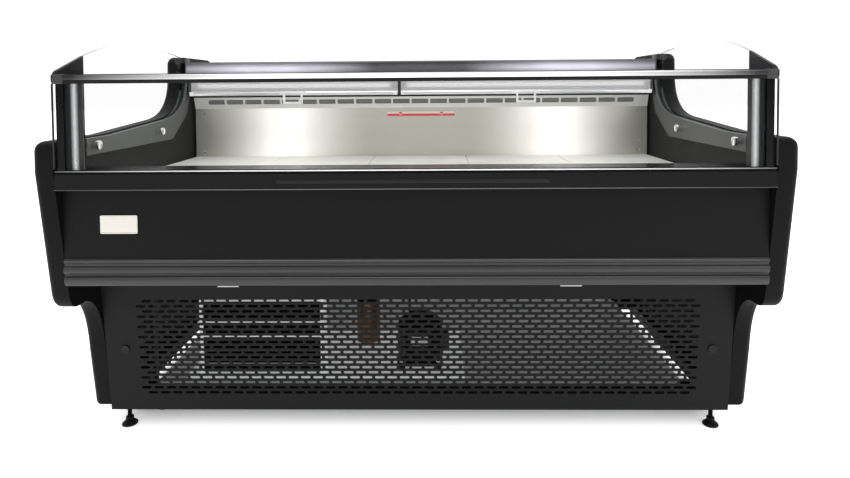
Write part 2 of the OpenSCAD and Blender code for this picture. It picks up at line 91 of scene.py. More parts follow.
class Wire:
    """A shader socket that can stand in a sum: each operator adds its Math node."""

    def __init__(self, finish, socket):
        self.finish = finish
        self.socket = socket

    def __add__(self, other):
        return self.finish.maths("ADD", self, other)

    def __radd__(self, other):
        return self.finish.maths("ADD", other, self)

    def __sub__(self, other):
        return self.finish.maths("SUBTRACT", self, other)

    def __rsub__(self, other):
        return self.finish.maths("SUBTRACT", other, self)

    def __mul__(self, other):
        return self.finish.maths("MULTIPLY", self, other)

    def __rmul__(self, other):
        return self.finish.maths("MULTIPLY", other, self)

    def __truediv__(self, other):
        return self.finish.maths("DIVIDE", self, other)

    def __rtruediv__(self, other):
        return self.finish.maths("DIVIDE", other, self)

    def __pow__(self, other):
        return self.finish.maths("POWER", self, other)

    def __gt__(self, other):
        return self.finish.maths("GREATER_THAN", self, other)

    def __lt__(self, other):
        return self.finish.maths("LESS_THAN", self, other)


class Finish:
    """A material in the making: its node tree, its main shader and the wires that feed it."""

    def __init__(self, name, **sockets):
        self.material = bpy.data.materials.new(name)
        self.material.use_nodes = True
        self.tree = self.material.node_tree
        self.shader = self.tree.nodes["Principled BSDF"]
        self.output = self.tree.nodes["Material Output"]
        self.set(**sockets)

    def set(self, **sockets):
        """Feeds the main shader: a socket's name has its spaces written as underscores."""
        for name, value in sockets.items():
            self.plug(self.shader.inputs[name.replace("_", " ")], value)

    def plug(self, socket, value):
        if isinstance(value, Wire):
            self.tree.links.new(value.socket, socket)
        elif value is not None:
            room = len(socket.default_value) if hasattr(socket.default_value, "__len__") else 0
            socket.default_value = (*value, 1.0) if room == 4 and len(value) == 3 else value

    def add(self, kind, setup=None, inputs=None, out=0):
        """Adds a node, makes its settings, then plugs its sockets, and returns one of its outputs."""
        node = self.tree.nodes.new("ShaderNode" + kind)
        for name, value in (setup or {}).items():
            setattr(node, name, value)
        for name, value in (inputs or {}).items():
            self.plug(node.inputs[name], value)
        return Wire(self, node.outputs[out])

    def maths(self, operation, *terms):
        return self.add("Math", {"operation": operation}, dict(enumerate(terms)))

    def place(self, scale=(1, 1, 1), turn=(0, 0, 0)):
        where = self.add("TexCoord", out="Object")
        return self.add("Mapping", None, {"Vector": where, "Scale": scale, "Rotation": turn})

    def axis(self, letter):
        return self.add("SeparateXYZ", None, {0: self.place()}, out="XYZ".index(letter))

    def off(self, letter, middle=0.0):
        """How far a point is from the middle along one axis."""
        return self.maths("ABSOLUTE", self.axis(letter) - middle)

    def noise(self, scale, detail=2.0, rough=0.5, at=None):
        at = at or self.place()
        inputs = {"Vector": at, "Scale": scale, "Detail": detail, "Roughness": rough}
        return self.add("TexNoise", None, inputs)

    def cells(self, scale, feature="F1", at=None, out="Distance"):
        at = at or self.place()
        return self.add("TexVoronoi", {"feature": feature}, {"Vector": at, "Scale": scale}, out=out)

    def spread(self, wire, low, high, to_low=0.0, to_high=1.0):
        """Maps low..high to another range, clamped at both ends."""
        inputs = {0: wire, 1: low, 2: high, 3: to_low, 4: to_high}
        return self.add("MapRange", None, inputs)

    def tint(self, share, first, second):
        """Mixes two colours; a colour mix has its colours in sockets 6 and 7 and its result in 2."""
        return self.add("Mix", {"data_type": "RGBA"}, {0: share, 6: first, 7: second}, out=2)

    def bump(self, height, distance, strength=1.0, under=None):
        inputs = {"Height": height, "Distance": distance, "Strength": strength, "Normal": under}
        return self.add("Bump", None, inputs)

    def see_through(self, share):
        """Lets light straight through the share of the surface that the wire or number gives."""
        clear = self.add("BsdfTransparent", None, {"Color": (1, 1, 1)})
        shader = Wire(self, self.shader.outputs[0])
        mixed = self.add("MixShader", None, {0: share, 1: clear, 2: shader})
        self.tree.links.new(mixed.socket, self.output.inputs["Surface"])


def shade(colour, factor):
    return tuple(min(1.0, c * factor) for c in colour)


# ---------------------------------------------------------------- finishes


def moulded_black():
    """Thick moulded ABS with a fine leather grain that the light rakes on its edges."""
    base = shade(BASE_OF["moulded_black"], 0.11)
    f = Finish("moulded_black", Specular_IOR_Level=0.06)
    grain = f.noise(300, 3, 0.6)
    pores = f.cells(900)
    cloud = f.noise(3.5, 3, 0.55)
    f.set(
        Base_Color=f.tint(cloud, shade(base, 0.75), shade(base, 1.25)),
        Roughness=f.spread(grain, 0.3, 0.7, 0.36, 0.52),
        Normal=f.bump(grain + pores * 0.5, 0.0012, 0.8),
    )
    return f.material


def powder(name, slot, rough=0.5, level=0.3, depth=0.00012, tone=1.0):
    """Powder coat: a faint orange peel over a flat colour that clouds a little."""
    base = shade(BASE_OF[slot], tone)
    f = Finish(name, Specular_IOR_Level=level)
    peel = f.noise(650, 2, 0.5)
    cloud = f.noise(5, 4, 0.6)
    f.set(
        Base_Color=f.tint(cloud, shade(base, 0.85), shade(base, 1.18)),
        Roughness=f.spread(cloud, 0.3, 0.7, rough - 0.05, rough + 0.06),
        Normal=f.bump(peel, depth, 0.4),
    )
    return f.material


def polished_black():
    """Gloss black profile with the faint ripple that an extrusion has."""
    base = shade(BASE_OF["gloss_black"], 0.25)
    f = Finish("gloss_black", Specular_IOR_Level=0.12)
    ripple = f.noise(1.0, 2, 0.5, f.place((1.5, 60, 60)))
    smear = f.noise(9, 4, 0.6)
    f.set(
        Base_Color=f.tint(smear, shade(base, 0.8), shade(base, 1.3)),
        Roughness=f.spread(smear, 0.3, 0.75, 0.12, 0.26),
        Normal=f.bump(ripple, 0.0004, 0.2),
    )
    return f.material


def brushed(name, slot, along="X", rough=0.3, line=420.0, metallic=1.0):
    """Brushed sheet: long fine scratches along one axis, which smear its reflections across them."""
    base = BASE_OF[slot]
    f = Finish(name, Metallic=metallic, Specular_IOR_Level=0.5)
    scale = {"X": (2.0, line, line), "Y": (line, 2.0, line), "Z": (line, line, 2.0)}[along]
    lines = f.noise(1.0, 3, 0.65, f.place(scale))
    broad = f.noise(1.0, 2, 0.5, f.place(tuple(s * 0.12 for s in scale)))
    cloud = f.noise(4, 3, 0.5)
    f.set(
        Base_Color=f.tint(lines * 0.7 + broad * 0.3, shade(base, 0.86), shade(base, 1.1)),
        Roughness=f.spread(lines + cloud * 0.4, 0.4, 1.0, rough - 0.06, rough + 0.1),
        Normal=f.bump(lines, 0.00008, 0.35),
    )
    return f.material


def zinc_spangle():
    """Galvanised sheet with its crystal spangle."""
    base = BASE_OF["galvanised"]
    f = Finish("galvanised", Metallic=0.85)
    spangle = f.cells(55, out="Color")
    flake = f.add("SeparateColor", None, {0: spangle})
    cloud = f.noise(7, 3, 0.5)
    f.set(
        Base_Color=f.tint(flake * 0.6 + cloud * 0.4, shade(base, 0.72), shade(base, 1.2)),
        Roughness=f.spread(flake, 0, 1, 0.34, 0.52),
    )
    return f.material


def clear_sheet(name, slot, haze, rough=0.02, rim=(0.03, 0.045, 0.042)):
    """Clear sheet: open, with a reflection that grows at a glancing look, and a darker rim."""
    f = Finish(name, Roughness=rough, Specular_IOR_Level=0.5)
    facing = f.add("LayerWeight", None, {"Blend": 0.1}, out="Facing")
    way = f.add("NewGeometry", out="True Normal")
    across = f.maths("ABSOLUTE", f.add("SeparateXYZ", None, {0: way}, out="X"))
    upright = f.maths("ABSOLUTE", f.add("SeparateXYZ", None, {0: way}, out="Y"))
    edge = (across < 0.7) * (upright < 0.97)
    f.set(Base_Color=f.tint(edge, shade(rim, 0.3), shade(rim, 1.4)))
    dust = f.noise(14, 3, 0.6)
    f.see_through(haze + facing * 0.2 + dust * 0.01 + edge * 0.7)
    return f.material


def chrome():
    f = Finish("chrome", Metallic=1.0, Base_Color=BASE_OF["chrome"])
    f.set(Roughness=f.spread(f.noise(60, 3, 0.6), 0.3, 0.7, 0.06, 0.14))
    return f.material


def plastic(name, slot, rough, level=0.4):
    base = BASE_OF[slot]
    f = Finish(name, Specular_IOR_Level=level)
    fine = f.noise(500, 2, 0.5)
    cloud = f.noise(12, 3, 0.5)
    f.set(
        Base_Color=f.tint(cloud, shade(base, 0.88), shade(base, 1.1)),
        Roughness=f.spread(fine, 0.3, 0.7, rough - 0.05, rough + 0.07),
        Normal=f.bump(fine, 0.00008, 0.3),
    )
    return f.material


def copper_tube():
    base = shade(BASE_OF["copper"], 0.4)
    f = Finish("copper", Metallic=1.0)
    tarnish = f.noise(30, 4, 0.65)
    f.set(
        Base_Color=f.tint(f.spread(tarnish, 0.4, 0.7), base, shade(base, 0.45)),
        Roughness=f.spread(tarnish, 0.3, 0.7, 0.25, 0.5),
    )
    return f.material


def woven_foil():
    """Aluminised woven blind sheet: a fine over-and-under weave."""
    base = BASE_OF["blind_foil"]
    f = Finish("blind_foil", Metallic=0.6)
    warp = f.maths("SINE", f.axis("X") * 2600)
    weft = f.maths("SINE", f.axis("Y") * 2600)
    weave = warp * weft
    f.set(
        Base_Color=f.tint(f.spread(weave, -1, 1), shade(base, 0.8), base),
        Roughness=0.42,
        Normal=f.bump(weave, 0.0002, 0.4),
    )
    return f.material


def wall_steel():
    """The well's rear wall: grained stainless with the two soft bands the lamps throw on it painted into
    its colour and glow, and painted shade towards its ends.
    """
    base = BASE_OF["stainless"]
    f = Finish("wall_steel", Metallic=0.75, Specular_IOR_Level=0.5)
    grain = f.noise(1.0, 3, 0.65, f.place((2.0, 420, 420)))
    from_middle = f.off("X")
    # painted highlight: two soft bands of light on the wall, centred near |x| = 0.56
    from_band = f.maths("ABSOLUTE", from_middle - 0.56)
    band = f.spread(from_band, 0.06, 0.38, 1.0, 0.0)
    # painted shade: the wall darkens towards its ends
    ends = f.spread(from_middle, 0.7, 0.9, 0.0, 1.0)
    plain = f.tint(grain, shade(base, 0.78), shade(base, 0.98))
    lit = f.tint(band * band, plain, (1.0, 0.99, 0.95))
    f.set(
        Base_Color=f.tint(ends * 0.25, lit, shade(base, 0.5)),
        Roughness=f.spread(grain, 0.3, 0.7, 0.3, 0.42),
        Normal=f.bump(grain, 0.00006, 0.3),
        # painted glow: a faint emission all over the wall, brightest in the painted bands
        Emission_Color=f.tint(band * band, (0.14, 0.14, 0.125), (1.0, 0.98, 0.93)),
        Emission_Strength=0.5,
    )
    return f.material


def painted_highlight_run(name, dark, bright, reach, rough=0.25):
    """A polished face with a painted highlight: brightest along its middle, falling off towards its ends.
    """
    f = Finish(name, Specular_IOR_Level=0.5, Metallic=0.3)
    # painted highlight: the colour brightens towards the middle along x and darkens towards the ends
    painted_light = f.spread(f.off("X"), reach[0], reach[1], 1.0, 0.0)
    cloud = f.noise(1.0, 2, 0.5, f.place((1.2, 40, 40)))
    f.set(
        Base_Color=f.tint(painted_light * (cloud * 0.3 + 0.85), dark, bright),
        Roughness=f.spread(cloud, 0.3, 0.7, rough - 0.05, rough + 0.08),
    )
    return f.material


def canopy_gloss():
    """Gloss black whose sloping front fades to a painted cool-grey reflection near its top."""
    f = Finish("canopy_gloss", Specular_IOR_Level=0.4)
    # painted reflection: a lavender-grey band along the canopy near z = 1.15, strongest near |x| = 0.6
    painted_reflection_rise = f.spread(f.off("Z", 1.150), 0.004, 0.024, 1.0, 0.1)
    inward = f.spread(f.maths("ABSOLUTE", f.off("X") - 0.6), 0.08, 0.42, 1.0, 0.12)
    smear = f.noise(1.0, 3, 0.6, f.place((3, 30, 30)))
    f.set(
        Base_Color=f.tint(painted_reflection_rise * inward * (smear * 0.5 + 0.75), (0.008, 0.008, 0.009), (0.85, 0.84, 0.95)),
        Roughness=f.spread(smear, 0.3, 0.7, 0.2, 0.34),
    )
    return f.material


def post_painted_highlight():
    """Satin post with a painted highlight: a bright upright stripe, in colour and glow, where its rolled
    edge would catch the light.
    """
    f = Finish("post_painted_highlight", Specular_IOR_Level=0.3)
    # painted highlight: a stripe near |x| = 0.9, lighter in colour and glowing
    core = f.maths("ABSOLUTE", f.off("X", 0.0) - 0.900)
    lit = f.spread(core, 0.0, 0.011, 1.0, 0.0)
    cloud = f.noise(6, 3, 0.5)
    f.set(
        Base_Color=f.tint(lit, (0.006, 0.007, 0.008), (0.85, 0.86, 0.88)),
        Emission_Color=f.tint(lit, (0.0, 0.0, 0.0), (1.0, 1.0, 1.0)),
        Emission_Strength=0.12,
        Roughness=f.spread(cloud, 0.3, 0.75, 0.3, 0.45),
    )
    return f.material


def signal_red():
    """Printed warning red."""
    f = Finish("signal_red", Base_Color=(0.85, 0.09, 0.07), Specular_IOR_Level=0.4)
    f.set(Roughness=f.spread(f.noise(80, 2, 0.5), 0.3, 0.7, 0.35, 0.45))
    return f.material


def zinc_painted_glow(name="zinc_painted_glow", painted_light=0.3, base=(0.75, 0.76, 0.76)):
    """Fresh zinc sheet with a painted glow, its own emission, for the light it catches behind the slots."""
    # painted light: the sheet gives off light as though lit
    f = Finish(name, Metallic=0.4, Emission_Strength=painted_light)
    cloud = f.noise(9, 4, 0.6)
    f.set(
        Base_Color=f.tint(cloud, shade(base, 0.75), base),
        Emission_Color=f.tint(cloud, (0.7, 0.72, 0.72), (1.0, 1.0, 1.0)),
        Roughness=f.spread(cloud, 0.3, 0.7, 0.35, 0.5),
    )
    return f.material


def comb_grey():
    """The air outlet's fine comb: lighter ribs with painted shade in the open cells between them, reading
    as a mid grey.
    """
    f = Finish("comb_grey", Specular_IOR_Level=0.3, Roughness=0.5)
    ribs = f.maths("SINE", f.axis("X") * 900)
    rows = f.maths("SINE", f.axis("Z") * 900)
    # painted shade: the open cells are dark between the lighter ribs
    f.set(Base_Color=f.tint(f.spread(ribs * rows, -0.4, 0.4), (0.05, 0.05, 0.045), (0.45, 0.45, 0.42)))
    return f.material


def lamp_glow():
    """Frosted tube, lit from inside."""
    f = Finish("lamp_glow", Base_Color=(0.9, 0.9, 0.88), Roughness=0.4, Emission_Strength=0.6)
    along = f.noise(1.0, 2, 0.5, f.place((30, 1, 1)))
    f.set(Emission_Color=f.tint(along, (0.95, 0.97, 1.0), (1.0, 1.0, 1.0)))
    return f.material


FINISHES = {
    # painted light: the rear wall's bands, glow and darker ends
    "wall_steel": wall_steel(),
    # painted glow: the zinc and deck finishes give off light as though lit; dim_zinc is a darker, shaded
    # copy of the zinc
    "zinc_painted_glow": zinc_painted_glow(),
    # painted shade in the comb's open cells
    "comb_grey": comb_grey(),
    "dim_zinc": zinc_painted_glow("dim_zinc", 0.1, (0.3, 0.31, 0.31)),
    "deck_steel": zinc_painted_glow("deck_steel", 0.2, (0.66, 0.66, 0.62)),
    "dark_cap": powder("dark_cap", "black_plastic", 0.5, 0.2, tone=0.3),
    # painted highlights: three strips brightest mid-way along, for the rail face, the ledge edge and the
    # bumper lines
    "rail_face": painted_highlight_run("rail_face", (0.012, 0.012, 0.013), (1.0, 1.0, 1.0), (0.42, 0.9)),
    "ledge_edge": painted_highlight_run("ledge_edge", (0.03, 0.03, 0.032), (0.85, 0.86, 0.88), (0.45, 1.0)),
    "bumper_edge": painted_highlight_run("bumper_edge", (0.035, 0.035, 0.037), (0.13, 0.13, 0.14), (0.5, 1.0)),
    # painted reflection on the canopy and painted highlight stripe on the posts
    "canopy_gloss": canopy_gloss(),
    "post_painted_highlight": post_painted_highlight(),
    "signal_red": signal_red(),
    "lamp_glow": lamp_glow(),
    "moulded_black": moulded_black(),
    "painted_black": powder("painted_black", "painted_black", 0.5, 0.1, tone=0.3),
    "gloss_black": polished_black(),
    "charcoal_paint": powder("charcoal_paint", "charcoal_paint", 0.5, 0.12, tone=0.13),
    "grey_trim": powder("grey_trim", "grey_trim", 0.4, 0.4, tone=0.5),
    "stainless": brushed("stainless", "stainless", "X", 0.3),
    "galvanised": zinc_spangle(),
    "aluminium": brushed("aluminium", "aluminium", "X", 0.32, 600),
    "chrome": chrome(),
    "glass": clear_sheet("glass", "glass", 0.02),
    "clear_plastic": clear_sheet("clear_plastic", "clear_plastic", 0.42, 0.1, (2.4, 2.4, 2.4)),
    "white_plastic": plastic("white_plastic", "white_plastic", 0.3, 0.5),
    "black_plastic": plastic("black_plastic", "black_plastic", 0.45),
    "green_plastic": plastic("green_plastic", "green_plastic", 0.3, 0.5),
    "rubber": plastic("rubber", "rubber", 0.75, 0.2),
    "copper": copper_tube(),
    "blind_foil": woven_foil(),
}


SPECIAL = {
    "duct_panel": "wall_steel", "canopy": "canopy_gloss", "corner_posts": "post_painted_highlight",
    "unit_base": "zinc_painted_glow", "base_tray": "dim_zinc", "air_outlet": "deck_steel",
}


def dress(piece, finish):
    """Gives a piece or CAD node one finish all over."""
    piece.data.materials.clear()
    piece.data.materials.append(finish)


# ---------------------------------------------------------------- hand tools


def free_hands():
    """Leaves edit mode and lets go of everything."""
    if bpy.context.object and bpy.context.object.mode != "OBJECT":
        bpy.ops.object.mode_set(mode="OBJECT")
    bpy.ops.object.select_all(action="DESELECT")


def take(*pieces):
    """Selects these pieces alone and makes the first one active."""
    free_hands()
    for piece in pieces:
        piece.select_set(True)
    bpy.context.view_layer.objects.active = pieces[0]
    return pieces[0]


def settled(name):
    """Names the new primitive and moves its place, turn and size into its mesh."""
    bpy.ops.object.transform_apply(location=True, rotation=True, scale=True)
    piece = bpy.context.object
    piece.name = name
    piece.data.name = name
    return piece


def block(name, low, high):
    """A box between two corners."""
    free_hands()
    low, high = Vector(low), Vector(high)
    bpy.ops.mesh.primitive_cube_add(size=1, location=(low + high) / 2, scale=high - low)
    return settled(name)


def rod(name, start, end, radius, sides=24, tip=None):
    """A round bar between two points, or a taper where tip gives its other radius."""
    free_hands()
    start, end = Vector(start), Vector(end)
    way = end - start
    place = {
        "vertices": sides,
        "depth": way.length,
        "location": (start + end) / 2,
        "rotation": way.to_track_quat("Z", "Y").to_euler(),
    }
    if tip is None:
        bpy.ops.mesh.primitive_cylinder_add(radius=radius, **place)
    else:
        bpy.ops.mesh.primitive_cone_add(radius1=radius, radius2=tip, **place)
    return settled(name)


def modify(piece, kind, **settings):
    """Adds a modifier and applies it."""
    take(piece)
    modifier = piece.modifiers.new(kind, kind)
    for name, value in settings.items():
        setattr(modifier, name, value)
    bpy.ops.object.modifier_apply(modifier=modifier.name)
    return piece


def soften(piece, width, segments=2, angle=40):
    """Rounds every edge that turns by more than angle degrees."""
    settings = {"limit_method": "ANGLE", "angle_limit": math.radians(angle)}
    return modify(piece, "BEVEL", width=width, segments=segments, **settings)


def smooth(piece, angle=40):
    take(piece)
    bpy.ops.object.shade_smooth_by_angle(angle=math.radians(angle))
    return piece


def step_and_repeat(piece, count, step):
    """Repeats a piece count times, each a step on from the last."""
    settings = {"use_relative_offset": False, "use_constant_offset": True}
    return modify(piece, "ARRAY", count=count, constant_offset_displace=step, **settings)


def join(name, pieces):
    piece = take(*pieces)
    if len(pieces) > 1:
        bpy.ops.object.join()
    piece.name = name
    piece.data.name = name
    return piece


def pick(piece, test, kind="FACE"):
    """Opens a piece for editing with only the faces, edges or vertices that pass the test selected."""
    take(piece)
    bpy.ops.object.mode_set(mode="EDIT")
    bpy.ops.mesh.select_mode(type=kind)
    bpy.ops.mesh.select_all(action="DESELECT")
    bpy.ops.object.mode_set(mode="OBJECT")
    mesh = piece.data
    if kind == "FACE":
        for face in mesh.polygons:
            face.select = test(face.center, face.normal)
    elif kind == "EDGE":
        for edge in mesh.edges:
            a, b = (mesh.vertices[i].co for i in edge.vertices)
            edge.select = test(a, b)
    else:
        for vertex in mesh.vertices:
            vertex.select = test(vertex.co)
    bpy.ops.object.mode_set(mode="EDIT")


def face_out(piece):
    """Merges doubles and turns every face outwards."""
    take(piece)
    bpy.ops.object.mode_set(mode="EDIT")
    bpy.ops.mesh.select_all(action="SELECT")
    bpy.ops.mesh.remove_doubles(threshold=0.00001)
    bpy.ops.mesh.normals_make_consistent(inside=False)
    bpy.ops.object.mode_set(mode="OBJECT")
    return piece


def draw(points):
    """Draws a line point by point from one vertex, and leaves it selected in edit mode."""
    points = [Vector(p) for p in points]
    free_hands()
    bpy.ops.mesh.primitive_plane_add(size=0.001, location=points[0])
    bpy.ops.object.transform_apply(location=True, rotation=True, scale=True)
    bpy.ops.object.mode_set(mode="EDIT")
    bpy.ops.mesh.select_mode(type="VERT")
    bpy.ops.mesh.select_all(action="SELECT")
    bpy.ops.mesh.merge(type="CENTER")
    for here, there in zip(points, points[1:]):
        bpy.ops.mesh.extrude_region_move(TRANSFORM_OT_translate={"value": there - here})
    bpy.ops.mesh.select_all(action="SELECT")


def outline(name, points):
    """Draws a closed line and fills it."""
    draw(points)
    bpy.ops.mesh.edge_face_add()
    bpy.ops.object.mode_set(mode="OBJECT")
    return settled(name)


def pull(piece, way):
    """Extrudes a flat piece into a solid, along way."""
    take(piece)
    bpy.ops.object.mode_set(mode="EDIT")
    bpy.ops.mesh.select_all(action="SELECT")
    bpy.ops.mesh.extrude_region_move(TRANSFORM_OT_translate={"value": way})
    bpy.ops.object.mode_set(mode="OBJECT")
    return face_out(piece)


def copy_of(node, name):
    """A separate, merged copy of a CAD node's mesh."""
    copied = NODES[node].data.copy()
    piece = bpy.data.objects.new(name, copied)
    bpy.context.scene.collection.objects.link(piece)
    return face_out(piece)


def cut(piece, place, normal, **sides):
    """Cuts a piece by a plane and closes it; sides says which part goes."""
    take(piece)
    bpy.ops.object.mode_set(mode="EDIT")
    bpy.ops.mesh.select_all(action="SELECT")
    bpy.ops.mesh.bisect(plane_co=place, plane_no=normal, use_fill=True, **sides)


def shift(piece, way):
    """Moves a piece and settles its place into its mesh."""
    take(piece)
    bpy.ops.transform.translate(value=way)
    bpy.ops.object.transform_apply(location=True, rotation=True, scale=True)
    return piece


def sink(piece, margins, way, test):
    """Sets the faces that pass the test in by each margin in turn, then moves them."""
    pick(piece, test)
    for margin in margins:
        bpy.ops.mesh.inset(thickness=margin)
    bpy.ops.transform.translate(value=way)
    bpy.ops.object.mode_set(mode="OBJECT")


def screw_head(place, way, radius):
    """A pan head with a sunk round recess."""
    place, way = Vector(place), Vector(way)
    head = rod("screw_head", place - way * 0.5 * MM, place + way * radius * 0.5, radius, 20)
    sink(head, (radius * 0.55,), way * -radius * 0.25, lambda centre, normal: normal.dot(way) > 0.9)
    return soften(head, radius * 0.18, 2)


def fit_out(piece, body, slot, finish=None, replaces=(), angle=40):
    """The last step of each piece: its finish, the body it rides on and what it stands for."""
    smooth(piece, angle)
    dress(piece, finish or FINISHES[slot])
    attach(piece, body)
    if replaces:
        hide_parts(*replaces)
    return piece


# ---------------------------------------------------------------- operators


class DeliCaseParts(bpy.types.Operator):
    """Gives every carried-over part of the case its own finish"""

    bl_idname = "deli_case.parts"
    bl_label = "Finish the case's own parts"

    def execute(self, context):
        for name, node in NODES.items():
            dress(node, FINISHES[SPECIAL.get(name, SLOT_OF[name])])
        return {"FINISHED"}


class DeliCaseEnds(bpy.types.Operator):
    """Moulds the two thick black ends with their broad rounded edges"""

    bl_idname = "deli_case.ends"
    bl_label = "Moulded ends"

    def execute(self, context):
        for side, sign in SIDES:
            node = "end_panel_" + side
            low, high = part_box(node)
            inner = high.x if sign < 0 else low.x
            outer = low.x if sign < 0 else high.x
            skin = 4 * MM * sign
            piece = copy_of(node, "moulded_end_" + side)
            cut(piece, (inner + skin, 0, 0), (sign, 0, 0), clear_outer=True)
            bpy.ops.mesh.select_all(action="SELECT")
            bpy.ops.mesh.dissolve_limited(angle_limit=math.radians(1))
            pick(piece, lambda centre, normal: normal.x * sign > 0.9)
            way = (outer - inner - skin, 0, 0)
            bpy.ops.mesh.extrude_region_move(TRANSFORM_OT_translate={"value": way})
            pick(piece, lambda a, b: min(a.x * sign, b.x * sign) > abs(outer) - 0.1 * MM, "EDGE")
            radius = context.scene.deli_case.end_radius
            bpy.ops.mesh.bevel(offset=radius, segments=7, affect="EDGES", clamp_overlap=True)
            face_out(piece)
            fit_out(piece, "root", "moulded_black", replaces=[node], angle=35)
        return {"FINISHED"}


class DeliCasePlinth(bpy.types.Operator):
    """Cuts the plinth's staggered round-ended slots, and adds its caps and catches"""

    bl_idname = "deli_case.plinth"
    bl_label = "Slotted plinth"

    def execute(self, context):
        size = context.scene.deli_case
        low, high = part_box("plinth_grille")
        gauge = 2 * MM
        run = high.y - low.y - gauge
        lean = math.atan2(run, high.z - low.z)
        length = math.hypot(run, high.z - low.z)
        plate = block("plinth_front", (low.x, -gauge, -length), (high.x, 0, 0))
        cutters = []
        for row in range(size.slot_rows):
            extra = row % 2
            count = size.slot_columns + extra
            cutter = self.slot(size, "slot_cutter")
            step_and_repeat(cutter, count, (size.slot_pitch, 0, 0))
            first = -(count - 1) / 2 * size.slot_pitch
            drop = size.slot_margin + row * size.slot_row_pitch
            cutters.append(shift(cutter, (first, 0, -drop)))
        cutter = join("slot_cutters", cutters)
        modify(plate, "BOOLEAN", operation="DIFFERENCE", object=cutter, solver="EXACT")
        bpy.data.objects.remove(cutter)
        pieces = [plate]
        for drop in (0, length - 14 * MM):
            edge = block("plinth_fold", (low.x, 0, -drop - 14 * MM), (high.x, 10 * MM, -drop - 12 * MM))
            pieces.append(edge)
        plinth = join("plinth_front", pieces)
        self.lean_back(plinth, lean, low.y + gauge, high.z)
        fit_out(plinth, "root", "charcoal_paint", replaces=["plinth_grille"], angle=30)

        for side, sign in SIDES:
            catch_x = {"left": -0.565, "right": 0.463}[side]
            catch = block("plinth_catch_" + side, (catch_x - 32 * MM, -gauge - 1.2 * MM, -12 * MM),
                          (catch_x + 32 * MM, -gauge, -8.5 * MM))
            soften(catch, 0.5 * MM)
            self.lean_back(catch, lean, low.y + gauge, high.z)
            fit_out(catch, "root", "galvanised")
            cap_x = sign * 893 * MM
            start = (cap_x, -gauge, -212 * MM)
            cap = rod("plinth_cap_" + side, start, (cap_x, -gauge - 4 * MM, -212 * MM), 13 * MM, 40)
            pick(cap, lambda centre, normal: normal.y < -0.9)
            bpy.ops.mesh.inset(thickness=4 * MM)
            bpy.ops.transform.translate(value=(0, 1.5 * MM, 0))
            bpy.ops.mesh.inset(thickness=3 * MM)
            soften(cap, 0.6 * MM)
            self.lean_back(cap, lean, low.y + gauge, high.z)
            fit_out(cap, "root", "black_plastic", FINISHES["dark_cap"])
        return {"FINISHED"}

    def slot(self, size, name):
        """One round-ended slot: a twelve-sided bar pulled apart at its middle."""
        half = size.slot_height / 2
        cutter = rod(name, (0, -6 * MM, 0), (0, 6 * MM, 0), half, 12)
        take(cutter)
        bpy.ops.transform.rotate(value=math.radians(15), orient_axis="Y", center_override=(0, 0, 0))
        bpy.ops.object.transform_apply(location=True, rotation=True, scale=True)
        for sign in (-1, 1):
            pick(cutter, lambda place: place.x * sign > 0, "VERT")
            spread = sign * (size.slot_width / 2 - half)
            bpy.ops.transform.translate(value=(spread, 0, 0))
            bpy.ops.object.mode_set(mode="OBJECT")
        return cutter

    def lean_back(self, piece, lean, y, z):
        take(piece)
        piece.rotation_euler = (lean, 0, 0)
        piece.location = (0, y, z)
        bpy.ops.object.transform_apply(location=True, rotation=True, scale=True)


